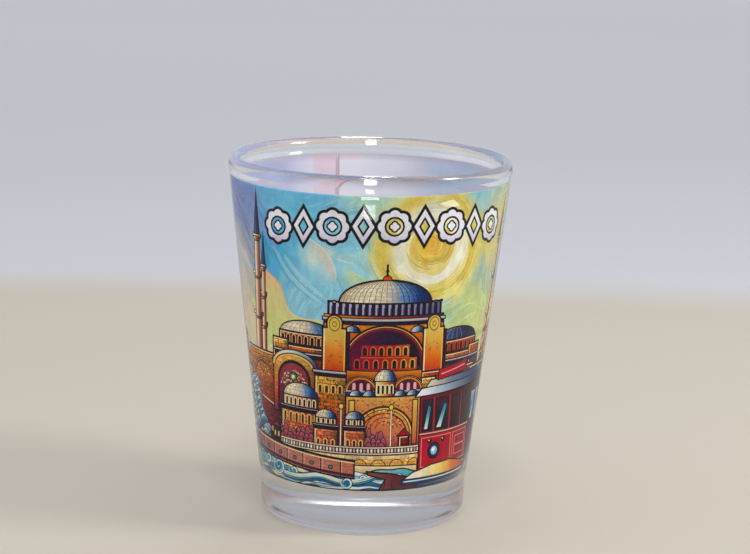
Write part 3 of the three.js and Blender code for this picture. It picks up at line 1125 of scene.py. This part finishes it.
RIGHT, BACK, LEFT = 92, 156, -114  # azimuths of the sides' sheets; the front's is 0
QUAY = 15.4  # height at which the front's houses stand


def gabled_wall(sheet, rng):
    """The curved gable left of the middle, and the lower wall between it and the arcade."""
    round_gable(sheet, rng, -16.6, -7.9, 20.0, 30.6, upward(20, 29, VIOLET, 0x7A2A40, 0x9A4450))
    block(sheet, -8.2, QUAY, -2.9, 27.9, (0x6A1E40, 0xB83A3A, 0xDE7040, 0xE0A048, 0xE4C468))
    specks(sheet, rng, -8.0, 19.0, -3.1, 27.0, 90)
    window_row(sheet, -7.8, -3.4, 24.6, 4, 0.5, 1.2, PLUM, HONEY)
    cornice(sheet, -8.6, -2.7, 27.8)


def wall_behind_tram(sheet, rng):
    block(sheet, 9.2, 16.0, 21.5, 28.2, (INK, 0x5A1A30, 0xA8382E, 0xC0502E))
    ringed_arch(sheet, 16.2, 25.4, 3.4, (0.8, WINE), [(1.0, STEEL), (0.9, HONEY), (0.84, INK)])
    mosaic(sheet, rng, 16.2, 25.5, 2.5, 60, (RED, CREAM, INK))
    block(sheet, 9.2, 20.0, 12.0, 27.2, SUNLIT)
    sheet.drawn(arched(10.8, 22.6, 1.3, 3.0, 8), INK, 0.2)


def arcade(sheet):
    """Two arches with windows, and a domed porch and four small domes before them."""
    left, right, floor = -3.0, 9.3, 25.0
    sheet.drawn(rect(left, 16.0, right, 28.6), upward(24, 28.6, INK, PLUM, 0x8A2A34, ORANGE), 0.22)
    for middle in (-0.6, 7.0):
        ringed_arch(sheet, middle, floor, 2.7, (0.72, PLUM), [(1.0, CREAM), (0.93, ORANGE), (0.78, RUST)])
        window_row(sheet, middle - 1.7, middle + 1.7, floor + 0.1, 3, 0.5, 1.45, ROSE, WINE)
    sheet.fill(rect(left + 0.1, 23.9, right - 0.1, floor + 0.1), NAVY)
    sheet.line([(left + 0.1, 25.15), (right - 0.1, 25.15)], 0.22, STEEL)
    sheet.drawn(rect(1.6, 24.3, 4.8, 27.0), across(1.6, 4.8, CREAM, HONEY, BRICK, PLUM))
    window_row(sheet, 1.8, 4.6, 24.8, 4, 0.36, 1.4, INK, CREAM)
    dome(sheet, 3.2, 26.9, 1.75, 2.0, PALE_DOME, 7, 0.4, 0.2)
    for x in (-1.4, 0.7, 5.7, 7.8):
        dome(sheet, x, 24.2, 1.05, 1.15, BLUE_DOME, 4, line=0.18)


def middle_wall(sheet, rng):
    """The salmon wall with the great ringed arch."""
    face = upward(15.6, 24.3, 0x9A4A60, 0xCA705A, 0xDC885E, 0xE29C5C, 0xE6B064)
    sheet.drawn(rect(-3.0, 15.6, 9.3, 24.3), stone(face, 0.35), HEAVY)
    rings = [(1.0, RUST), (0.96, HONEY), (0.88, upward(17, 23, 0xCE7A50, 0xE8AC58)), (0.76, RUST)]
    inside = upward(16, 23, 0xB85C54, 0xD68258, 0xE2A05E)
    ringed_arch(sheet, 3.2, 17.8, 4.9, (0.73, inside), rings)
    for radius in (2.9, 2.2, 1.5):
        sheet.line(arc(3.2, 18.6, radius, radius, 10, 170, 16), 0.16, RUST)
    mosaic(sheet, rng, 3.2, 19.4, 2.6, 50, (RUST, CREAM, ORANGE))
    specks(sheet, rng, -2.8, 16.2, 9.1, 24.0, 120, RUST)
    for x in (-2.0, 8.3):
        sheet.drawn(rect(x - 0.45, 16.0, x + 0.45, 23.6), upward(16, 24, 0xB4583E, HONEY), 0.2)


def front_yard(sheet, rng):
    """Small domed houses, bushes, a hut and lamp posts along the quay, and low roofs on the left."""
    annexe(sheet, -10.9, 15.6, 7.6, 10.0)
    annexe(sheet, -1.5, QUAY, 3.5, 6.4, 1, BLUE_DOME)
    annexe(sheet, -6.2, 15.2, 4.1, 6.6, 1)
    shrubs(sheet, rng, -14.8, -8.4, QUAY, 2.9)
    shrubs(sheet, rng, 0.4, 3.2, QUAY, 3.4, (0x6A2A48, 0x9A4A60, 0xB06A70))
    block(sheet, 5.6, QUAY, 7.4, 17.6, (0x5A1A2A, 0xA83A34))
    sheet.drawn(gable(6.5, 1.2, 17.6, 18.8), 0xA82A30, 0.2)
    for x in (-3.7, 4.3):
        sheet.line([(x, 15.2), (x, 22.2)], 0.34)
        sheet.line([(x, 15.2), (x, 22.2)], 0.18, CREAM)
        sheet.drawn(oval(x, 22.5, 0.4, 0.5, 10), HONEY, 0.16)
    sheet.drawn(rect(-25.2, 13.6, -15.0, 17.8), upward(13.6, 17.8, INK, 0x3A1230, WINE))
    huts = ((-17.6, 15.6, 2.0, WINE), (-16.0, 15.0, 1.8, NIGHT), (-19.0, 14.6, 1.9, 0x8A1830))
    for x, z, width, colour in huts:
        left, right, eaves = x - width / 2, x + width / 2, z + 2.2
        sheet.drawn(rect(left, z, right, eaves), stone(upward(z, z + 2.4, INK, colour), 0.5), 0.2)
        sheet.drawn(gable(x, width * 0.6, eaves, z + 3.2), 0x8A2A30, 0.2)
        window_row(sheet, left, right, z + 0.5, 2, 0.36, 0.9, HONEY)


def waterside(sheet, rng):
    """The quay, the water before it, a jetty and the tram's street."""
    balustrade(sheet, -15.0, 9.3, 14.7)
    sheet.drawn(rect(-15.0, 12.0, 10.2, 14.4), stone(upward(12, 14.4, 0xD98A3C, HONEY, CREAM), 0.7), 0.22)
    for i in range(8):
        sheet.line(arc(-12.6 + i * 3, 12.4, 1.2, 1.2, 0, 180, 10), 0.17, RUST)
    beach = [(-4.0, 11.2), (10.2, 11.2), (10.2, 12.4), (-4.0, 12.7)]
    sheet.drawn(beach, upward(11.2, 12.6, 0xC9B07A, CREAM), 0.2)
    sea(sheet, rng, -25.2, 9.9, 11.7)
    swell = [(-17.4, 10.9), (-14.6, 9.5), (-11.0, 9.4), (-7.0, 10.2), (-3.4, 9.5), (0.4, 10.0), (3.2, 11.3)]
    roller(sheet, smoothed(swell), ((-15.6, 10.4, 1.5), (-2.6, 9.5, 0.9)))
    quay(sheet, -23.4, -1.4, 12.2, 15.3, 1.9)
    jetty = [(2.6, 8.4), (9.9, 8.4), (9.9, 9.8), (4.4, 11.2), (0.6, 11.6), (0.8, 11.0), (3.6, 10.2)]
    sheet.drawn(jetty, across(0, 10, 0x9A5A50, 0x6A2C34, INK), 0.26)
    for i in range(5):
        sheet.line([(3.4 + i * 1.25, 8.6), (3.6 + i * 1.15, 9.9)], 0.14)
    sheet.drawn(rect(9.0, WATER_FOOT, 27.2, 13.4), across(9, 24, NAVY, PLUM, NIGHT), 0.2)
    for i in range(9):
        z = 8.8 + i * 0.5
        rail = [(9.4 + 0.6 * i, z), (15 + 1.2 * i, z + 0.14), (26.6, z)]
        sheet.line(rail, tapered(0.26), (SEA, STEEL, ROSE)[i % 3])
    block(sheet, 20.2, 12.6, 27.2, 27.6, (INK, PLUM, 0x5A3A5A, SLATE))
    window_row(sheet, 21.0, 26.6, 22.4, 5, 0.6, 1.8, INK, STEEL)
    tram(sheet, 9.0, 9.0, 0.95)


def front_picture(rng):
    """The side that faces -Y: a domed hall over a quay, with a tram on the right."""
    far = Sheet("print_front_far", 0, 1)
    clouds(far)
    slender_tower(far, -19.0, 27, 49.6, 1.3)
    slender_tower(far, -20.7, 26, 56.4, 1.95)
    block(far, -25.4, 18.0, -14.0, 29.6, (0x6A2438, 0xA4442F, 0xC26C3A, 0xD08246, 0xD8924C))
    ringed_arch(far, -19.8, 24.6, 3.4, (0.86, 0xB8623A), [(1.0, HONEY), (0.93, RUST)])
    mosaic(far, rng, -19.8, 24.8, 2.4, 90, (CREAM, GREEN, RUST, HONEY))
    specks(far, rng, -24.6, 20.0, -14.4, 28.6, 70)
    far.line([(-25.0, 22.6), (-16.4, 20.6)], 0.3)
    far.line([(-25.0, 22.8), (-16.4, 20.8)], 0.2, CREAM)
    hall(far, rng, 3.1, 29.4, 20.0)

    near = Sheet("print_front_near", 0, 2)
    gabled_wall(near, rng)
    wall_behind_tram(near, rng)
    arcade(near)
    middle_wall(near, rng)
    front_yard(near, rng)
    spray(near, rng, -26.2, 13.4, 10.0, 11.0)

    shore = Sheet("print_front_shore", 0, 3)
    waterside(shore, rng)
    title = Sheet("print_front_frieze", 0, 3)
    frieze(title)
    return [far, near, shore, title]


def right_picture(rng):
    """The side that faces +X: a round tower over a hill of houses."""
    far, near = Sheet("print_right_far", RIGHT, 1), Sheet("print_right_near", RIGHT, 2)
    slender_tower(far, -6.7, 27, 55.4, 1.7)
    hillside(far, rng, -8.0, 11.4, 22.0, 4)
    round_tower(far, rng, 2.4, 24.5, 5.8, 27.0)

    hillside(near, rng, -7.6, 11.0, 15.2, 2)
    shrubs(near, rng, -7.2, 10.6, 14.4, 2.0, (NIGHT, GREEN, 0x9DB85C))
    balustrade(near, -7.4, 11.0, 13.2)
    sea(near, rng, -6.6, 10.6, 12.6)
    sailing_boat(near, -2.6, 10.4, 1.9, PALE, RED)
    sailing_boat(near, 5.0, 10.0, 2.3, HONEY, NAVY)
    for x, z in ((-4.6, 50.0), (-2.6, 51.6), (8.6, 47.2)):
        gull(near, x, z)
    return [far, near]


def back_picture(rng):
    """The side that faces away, up to the seam: a second domed hall."""
    middle = -2.2
    far, near = Sheet("print_back_far", BACK, 1), Sheet("print_back_near", BACK, 2)
    slender_tower(far, -13.0, 26, 53.0, 1.6)
    slender_tower(far, 8.6, 26, 53.6, 1.6)
    hall(far, rng, middle, 28.6, 15.5, ROSE_DOME)

    block(near, -12.6, 15.0, 10.0, 27.4, RUDDY)
    specks(near, rng, -12.2, 16, 9.8, 27, 120)
    window_row(near, -12.0, 9.4, 23.4, 14, 0.62, 2.2, INK, HONEY)
    cornice(near, -12.8, 10.1, 27.2)
    for x in (-10.0, -6.2, 2.0, 5.9):
        height, tones = (8.6, BLUE_DOME) if x in (-10.0, 5.9) else (7.4, ROSE_DOME)
        annexe(near, x, 15.0, 4.0, height, 2, tones)
    ringed_arch(near, middle, 16.4, 2.8, (0.74, INK), [(1.0, CREAM), (0.9, EMBER), (0.8, HONEY)])
    near.drawn(rect(-4.2, 15.0, -0.2, 16.5), INK, 0.2)
    shrubs(near, rng, -12.2, -7.4, 14.4, 2.2, (NIGHT, GREEN, 0xB8B04C))
    shrubs(near, rng, 3.4, 9.2, 14.4, 2.2)
    balustrade(near, -12.0, 8.8, 13.2)
    sea(near, rng, -10.9, 8.0, 12.6)
    sailing_boat(near, -6.8, 10.0, 2.2, CREAM, TEAL)
    sailing_boat(near, 4.6, 10.4, 1.8, PALE, WINE)
    return [far, near, end_strip("print_end_strip_pale", -1, 0xF1EDEE, 0xB9A6BE)]


def left_picture(rng):
    """The side that faces -X, from the seam on: a bridge before a domed house on a hill."""
    far, near = Sheet("print_left_far", LEFT, 1), Sheet("print_left_near", LEFT, 2)
    hillside(far, rng, -14.0, 14.8, 22.0, 3)
    round_tower(far, rng, -8.0, 22.0, 4.6, 22.0)
    slender_tower(far, 9.6, 24, 51.0, 1.6)
    dome(far, 4.4, 32.6, 4.0, 3.0, BLUE_DOME, 12, 1.0)
    drum(far, -0.1, 8.9, 30.8, 32.7, 9)
    block(far, -1.2, 24.0, 10.0, 30.8, SUNLIT)
    window_row(far, -0.8, 9.6, 27.0, 7, 0.8, 2.4, PLUM, CREAM)

    bridge(near, -14.0, 14.0, 14.6, 6, 4.6)
    hillside(near, rng, -13.6, -4.4, 20.8, 1)
    sea(near, rng, -12.8, 13.0, 14.7)
    sailing_boat(near, -9.0, 11.4, 2.4, PALE, RED)
    sailing_boat(near, -1.0, 10.2, 2.0, ROSE, NAVY)
    sailing_boat(near, 7.4, 11.2, 2.6, HONEY, WINE)
    for x, z in ((-12.0, 49.6), (-3.0, 46.4), (-1.2, 47.6)):
        gull(near, x, z)
    return [far, near, end_strip("print_end_strip_rose", 1, 0xF0B6C2, 0xC2697C)]


# ---------------------------------------------------------------- the glass


def glass_profile():
    """(radius, height, belongs to the bore) along the glass's section, from under its foot to its floor."""
    k = HEIGHT / 60  # the numbers below are a 60 mm glass's
    foot, corner = 16.95 * k, 2.6 * k
    punt, punt_depth, punt_slope = 11.2 * k, 0.9 * k, 1.6 * k
    lip_depth, rim_wall, base_wall = 1.9 * k, 1.7 * k, 2.9 * k
    floor_z, floor_rise, fillet = 9.0 * k, 0.4 * k, 4.2 * k
    wall_top = 57.4 * k
    wall_foot = 7.2 * k
    crest = RIM_RADIUS - (rim_wall / 2 + 0.1 * k)
    widest = HEIGHT - lip_depth
    bore_top = wall(wall_top) - rim_wall
    fillet_top = floor_z + floor_rise + fillet
    bore_low = wall(fillet_top) - base_wall
    centre = bore_low - fillet
    outside = [(0.0, punt_depth)]
    for i in range(11):
        outside.append((punt - punt_slope * (1 - i / 10), punt_depth * (1 - smooth(0, 1, i / 10))))
    outside += arc(foot - corner, corner, corner, corner, -90, 0, 18)
    for i in range(25):
        z = wall_foot + (wall_top - wall_foot) * i / 24
        outside.append((wall(z), z))
    outside += arc(crest, widest, RIM_RADIUS - crest, lip_depth, 0, 90, 16)
    inside = arc(crest, widest, crest - bore_top, lip_depth, 90, 180, 16)[1:]
    for i in range(25):
        z = wall_top + (fillet_top - wall_top) * i / 24
        inside.append((bore_top + (bore_low - bore_top) * i / 24, z))
    inside += arc(centre, fillet_top, fillet, fillet, 0, -90, 18)[1:]
    inside += [(centre * s, floor_z + floor_rise * s * s) for s in (0.75, 0.5, 0.25, 0.0)]
    return [(r, z, False) for r, z in outside] + [(r, z, True) for r, z in inside]


def glass():
    """The tumbler as a smooth turned body whose bore is very slightly uneven, as pressed glass is."""
    profile = glass_profile()
    count = round(360 / SLICE)
    verts, faces, rings = [], [], []
    for r, z, bore in profile:
        if r == 0:
            rings.append([len(verts)] * count)
            verts.append((0, 0, z * MM))
            continue
        rings.append(list(range(len(verts), len(verts) + count)))
        for i in range(count):
            a = math.radians(SEAM + SEAM_HALF + i * SLICE)
            wave = 0.0
            if bore and z < HEIGHT - 4:
                wave = 0.07 * noise.noise(Vector((2.2 * math.sin(a), 2.2 * math.cos(a), z * 0.09)))
            verts.append(((r + wave) * math.sin(a) * MM, -(r + wave) * math.cos(a) * MM, z * MM))
    for low, high in zip(rings, rings[1:]):
        for i in range(count):
            j = (i + 1) % count
            corners = [low[i], low[j], high[j], high[i]]
            faces.append([v for k, v in enumerate(corners) if v not in corners[:k]])
    mesh = bpy.data.meshes.new("glass_tumbler")
    mesh.from_pydata(verts, [], faces)
    mesh.shade_smooth()
    return add("glass_tumbler", mesh)


# ---------------------------------------------------------------- materials


class Nodes:
    """Short forms for building a node material."""

    def __init__(self, name):
        self.material = bpy.data.materials.new(name)
        self.material.use_nodes = True
        self.tree = self.material.node_tree
        self.tree.nodes.clear()
        self.output = self.tree.nodes.new("ShaderNodeOutputMaterial")

    def add(self, kind, inputs=None, **settings):
        node = self.tree.nodes.new(kind)
        for key, value in settings.items():
            setattr(node, key, value)
        for key, value in (inputs or {}).items():
            if isinstance(value, bpy.types.NodeSocket):
                self.tree.links.new(value, node.inputs[key])
            else:
                node.inputs[key].default_value = value
        return node

    def math(self, operation, *values):
        return self.add("ShaderNodeMath", dict(enumerate(values)), operation=operation).outputs[0]

    def place(self):
        return self.add("ShaderNodeTexCoord").outputs["Object"]

    def noise(self, per_metre, detail=3.0, stretch=(1, 1, 1)):
        scaled = self.add("ShaderNodeMapping", {"Vector": self.place(), "Scale": stretch}).outputs[0]
        inputs = {"Vector": scaled, "Scale": per_metre, "Detail": detail}
        return self.add("ShaderNodeTexNoise", inputs).outputs["Fac"]

    def spread(self, value, low, high, start=0.0, end=1.0):
        """A value between start and end moved to another range."""
        inputs = {"Value": value, "From Min": start, "From Max": end, "To Min": low, "To Max": high}
        return self.add("ShaderNodeMapRange", inputs).outputs[0]

    def mixed(self, share, first, second):
        return self.add("ShaderNodeMix", {0: share, 6: first, 7: second}, data_type="RGBA").outputs[2]

    def times(self, colour, factor):
        return self.add("ShaderNodeVectorMath", {0: colour, 1: factor}, operation="MULTIPLY").outputs[0]

    def bump(self, height, distance, strength):
        inputs = {"Height": height, "Distance": distance, "Strength": strength}
        return self.add("ShaderNodeBump", inputs).outputs[0]

    def surface(self, inputs):
        return self.done(self.add("ShaderNodeBsdfPrincipled", inputs).outputs[0])

    def done(self, shader):
        self.tree.links.new(shader, self.output.inputs["Surface"])
        return self.material


def masonry(n):
    """A colour factor for courses of stones round the wall, each its own tone, with dark joints and pocks."""
    x, y, z = n.add("ShaderNodeSeparateXYZ", {0: n.place()}).outputs
    turn = n.math("ARCTAN2", x, n.math("MULTIPLY", y, -1.0))
    wander = n.spread(n.noise(600, 2), -0.00022, 0.00022)
    around = n.math("ADD", n.math("MULTIPLY", turn, 19.5 * MM), wander)
    unrolled = n.add("ShaderNodeCombineXYZ", {0: around, 1: n.math("ADD", z, wander)}).outputs[0]
    inputs = {
        "Vector": unrolled,
        "Color1": (0.66, 0.6, 0.62, 1),
        "Color2": (1.3, 1.25, 1.15, 1),
        "Mortar": (0.34, 0.2, 0.24, 1),
        "Scale": 1 / MM,
        "Mortar Size": 0.07,
        "Mortar Smooth": 0.5,
        "Brick Width": 1.25,
        "Row Height": 0.62,
    }
    courses = n.add("ShaderNodeTexBrick", inputs).outputs["Color"]
    pocks = n.spread(n.noise(2600, 1), 1.0, 0.34, 0.57, 0.66)
    return n.times(courses, pocks)


def ink_material():
    """Printed ink: the sheet's paint broken up by brush drag, dots, and stones where it asks for them."""
    n = Nodes("printed_ink")
    attribute = n.add("ShaderNodeAttribute", attribute_name="paint").outputs
    stones = n.mixed(attribute["Alpha"], (1, 1, 1, 1), masonry(n))
    broad = n.spread(n.noise(190, 4), 0.86, 1.14)
    drag = n.spread(n.noise(900, 3, (1, 1, 0.35)), 0.82, 1.2)
    dots = n.spread(n.noise(4200, 2), 0.84, 1.16)
    tone = n.math("MULTIPLY", n.math("MULTIPLY", broad, drag), dots)
    toned = n.times(n.times(attribute["Color"], stones), tone)
    hue = n.spread(n.noise(420, 2), 0.48, 0.52)
    colour = n.add("ShaderNodeHueSaturation", {"Hue": hue, "Saturation": 1.06, "Color": toned}).outputs[0]
    rough = n.spread(n.noise(1500, 2), 0.32, 0.5)
    normal = n.bump(n.noise(5200, 2), 0.00001, 0.25)
    return n.surface({"Base Color": colour, "Roughness": rough, "Normal": normal, "Specular IOR Level": 0.1})


def white_material():
    """White ground ink, seen from inside through the glass, with the picture's colours faint in it."""
    n = Nodes("white_ground_ink")
    paint = n.add("ShaderNodeAttribute", attribute_name="paint").outputs["Color"]
    tone = n.math("MULTIPLY", n.spread(n.noise(160, 4), 0.95, 1.04), n.spread(n.noise(2600, 2), 0.98, 1.02))
    normal = n.bump(n.noise(3000, 2), 0.00001, 0.2)
    rough = n.spread(n.noise(900, 2), 0.5, 0.65)
    return n.surface({"Base Color": n.times(paint, tone), "Roughness": rough, "Normal": normal})


def glass_material():
    """Clear pressed glass, faintly wavy, with a duller underside and painted shade in its foot. Lamps reach
    what is inside it.
    """
    n = Nodes("clear_glass")
    z = n.add("ShaderNodeSeparateXYZ", {0: n.place()}).outputs[2]
    underside = n.spread(z, 0.22, 0.0, 0.8 * MM, 2.2 * MM)
    rough = n.math("ADD", n.spread(n.noise(700, 3), 0.0, 0.03), underside)
    normal = n.bump(n.noise(110, 2), 0.00012, 0.35)
    # painted shade: below 6.6 mm the glass is tinted grey, and darker still in a band round 5.7 mm, to dim
    # the foot
    foot_shade = n.spread(z, 1.0, 0.0, 6.6 * MM, 8.4 * MM)
    tint = n.mixed(foot_shade, (0.988, 0.992, 0.996, 1), (0.62, 0.64, 0.67, 1))
    ring = n.spread(n.math("ABSOLUTE", n.math("SUBTRACT", z, 5.7 * MM)), 0.78, 1.0, 0.3 * MM, 1.2 * MM)
    tint = n.times(tint, ring)
    inputs = {"Base Color": tint, "Roughness": rough, "IOR": 1.5, "Transmission Weight": 1.0}
    clear = n.add("ShaderNodeBsdfPrincipled", {**inputs, "Normal": normal}).outputs[0]
    open_to_lamps = n.add("ShaderNodeBsdfTransparent", {"Color": (0.975, 0.98, 0.985, 1)}).outputs[0]
    path = n.add("ShaderNodeLightPath").outputs
    lamp = n.math("MAXIMUM", path["Is Shadow Ray"], path["Is Diffuse Ray"])
    return n.done(n.add("ShaderNodeMixShader", {0: lamp, 1: clear, 2: open_to_lamps}).outputs[0])


def coat_material():
    """Clear gloss lacquer: nothing but a reflection, with a faint unevenness."""
    n = Nodes("clear_coat_gloss")
    normal = n.bump(n.noise(260, 3), 0.00004, 0.08)
    rough = n.spread(n.noise(800, 2), 0.03, 0.1)
    gloss = n.add("ShaderNodeBsdfGlossy", {"Roughness": rough, "Normal": normal}).outputs[0]
    through = n.add("ShaderNodeBsdfTransparent").outputs[0]
    fresnel = n.add("ShaderNodeFresnel", {"IOR": 1.3, "Normal": normal}).outputs[0]
    facing = n.math("SUBTRACT", 1.0, n.add("ShaderNodeNewGeometry").outputs["Backfacing"])
    share = n.math("MULTIPLY", fresnel, facing)
    return n.done(n.add("ShaderNodeMixShader", {0: share, 1: through, 2: gloss}).outputs[0])


def floor_material():
    """Plain pale floor: warm near the glass, cool grey beyond."""
    n = Nodes("plain_floor")
    squares = n.times(n.place(), n.place())
    length = n.add("ShaderNodeVectorMath", {0: squares}, operation="LENGTH").outputs["Value"]
    distance = n.math("SQRT", length)  # its level lines are squares with round corners

    def beyond(near, far):
        inputs = {"Value": distance, "From Min": near, "From Max": far}
        return n.add("ShaderNodeMapRange", inputs, interpolation_type="SMOOTHSTEP").outputs[0]

    cool = n.mixed(beyond(0.2, 0.9), (*linear(0xD7D8DB), 1), (*linear(0xE3E5E8), 1))
    cool = n.mixed(beyond(0.9, 1.9), cool, (0.97, 0.98, 1.0, 1))
    colour = n.mixed(beyond(0.165, 0.205), (*linear(0xD1C8B7), 1), cool)
    grain = n.bump(n.noise(900, 3), 0.0002, 0.15)
    return n.surface({"Base Color": colour, "Roughness": 0.9, "Normal": grain})


# ---------------------------------------------------------------- putting the object together


def ride(piece, material, slot, *nodes):
    piece.data.materials.append(material)
    if nodes:
        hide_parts(*nodes)
    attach(piece, "root")


def ground_colour(azimuth, z):
    """The white ground, faintly coloured by what is printed in front of it."""
    side = turned_by(azimuth, SEAM)
    white = linear(0xF8F5FA)
    if z > PRINT_HIGH[1] - 0.5:
        return blend(white, linear(0xC88A9C if abs(side) < END_STRIP else 0xA79CB4), 0.6)
    if abs(side) < 0.6:
        return linear(0xC58A9C)
    if 0 < side < END_STRIP:
        return blend(white, linear(0xF2B4C4), 0.42)
    if -END_STRIP < side < 0:
        return white
    lavender = blend(sky_colour(azimuth, z, False), linear(0x8C9EDA), 0.65 if side > 0 else 0.45)
    behind = blend(lavender, linear(0xD8A088), smooth(36, 26, z))
    share = 0.16 + 0.6 * smooth(10, 32, side) if side > 0 else 0.06 + 0.56 * smooth(26, 56, -side)
    return blend(white, behind, share)


def uncoloured(azimuth, z):
    return (1, 1, 1)


def build_object():
    rng = random.Random(SEED)
    ink = ink_material()
    ride(glass(), glass_material(), "clear_glass", "glass_body")

    thickness = SKY_LIFT - WHITE_LIFT - WHITE_GAP
    low, high = WHITE_LOW[1], WHITE_HIGH[1]
    white = sleeve("print_white_ground", low, high, WHITE_LIFT, thickness, 40, ground_colour)
    ride(white, white_material(), "white_ink", "white_ground")

    sky = sleeve("print_sky", PRINT_LOW[1], PRINT_HIGH[1], SKY_LIFT, SKIN, 120, sky_colour)
    ride(sky, ink, "colour_ink", "colour_picture")
    for picture in (sky_strokes, front_picture, right_picture, back_picture, left_picture):
        for sheet in picture(rng):
            ride(sheet.build(), ink, "colour_ink")

    low, high, lift = COAT_LOW[1], COAT_HIGH[1], COAT_LIFT - COAT_THICKNESS
    coat = sleeve("print_clear_coat", low, high, lift, COAT_THICKNESS, 8, uncoloured, seam=False)
    coat.data.shade_smooth()
    ride(coat, coat_material(), "clear_coat", "clear_coat")


# ---------------------------------------------------------------- stage, light and camera, in metres

FLOOR_RADIUS = 2.2
FLOOR_Z = -0.00003  # a hair below the foot, so that the two never share a plane


def stage():
    mesh = bpy.data.meshes.new("floor")
    turns = [math.tau * i / 96 for i in range(96)]
    rim = [(FLOOR_RADIUS * math.cos(a), FLOOR_RADIUS * math.sin(a), FLOOR_Z) for a in turns]
    mesh.from_pydata(rim, [], [list(range(96))])
    floor = add("floor", mesh)
    mesh.materials.append(floor_material())

    world = bpy.data.worlds.new("studio")
    bpy.context.scene.world = world
    world.use_nodes = True
    background = world.node_tree.nodes["Background"]
    background.inputs["Color"].default_value = (*linear(0xE6E7EE), 1)
    background.inputs["Strength"].default_value = 0.82


def lamp(name, place, aim, size, power, colour=(1, 1, 1), only_gloss=False):
    """A rectangular lamp that the camera doesn't see. One that is only gloss shows in reflections alone."""
    light = bpy.data.lights.new(name, "AREA")
    light.shape = "RECTANGLE"
    light.size, light.size_y = size
    light.energy = power
    light.color = colour
    holder = bpy.data.objects.new(name, light)
    holder.location = place
    holder.rotation_euler = (Vector(aim) - Vector(place)).to_track_quat("-Z", "Y").to_euler()
    holder.visible_camera = False
    holder.visible_diffuse = not only_gloss
    holder.visible_transmission = not only_gloss
    bpy.context.scene.collection.objects.link(holder)


def lights():
    middle = (0, 0, HEIGHT * MM / 2)
    lip = (0, 0, HEIGHT * MM)
    warm, cool = (1.0, 0.99, 0.97), (0.97, 0.98, 1.0)
    lamp("softbox_above", (0.0, -0.2, 0.46), middle, (0.08, 0.05), 0.32, warm)
    lamp("softbox_left", (-0.5, -0.06, 0.24), middle, (0.2, 0.4), 0.16, cool)
    lamp("softbox_right", (0.42, -0.1, 0.36), middle, (0.12, 0.12), 0.9, warm)
    lamp("lip_glint", (0.0115, 0.203, 0.351), lip, (0.04, 0.07), 1.15, only_gloss=True)
    lamp("inner_glint", (0.0, -0.39, 0.29), lip, (0.07, 0.3), 1.5, only_gloss=True)


def camera():
    """The photograph's viewpoint: a long lens a little above the glass, rolled by a degree and a half."""
    distance, elevation = 0.38, math.radians(12.8)
    centre = Vector((0, 0, HEIGHT * MM / 2))
    place = centre + Vector((0, -distance * math.cos(elevation), distance * math.sin(elevation)))
    aim = Vector((0.0012, 0, 0.0398))
    data = bpy.data.cameras.new("camera")
    data.lens = 110
    data.sensor_width = 36
    holder = bpy.data.objects.new("camera", data)
    turn = (aim - place).to_track_quat("-Z", "Y").to_matrix()
    holder.rotation_euler = (turn @ Matrix.Rotation(math.radians(1.5), 3, "Z")).to_euler()
    holder.location = place
    bpy.context.scene.collection.objects.link(holder)
    bpy.context.scene.camera = holder


build_object()
stage()
lights()
camera()
bpy.context.scene.view_settings.view_transform = "Standard"
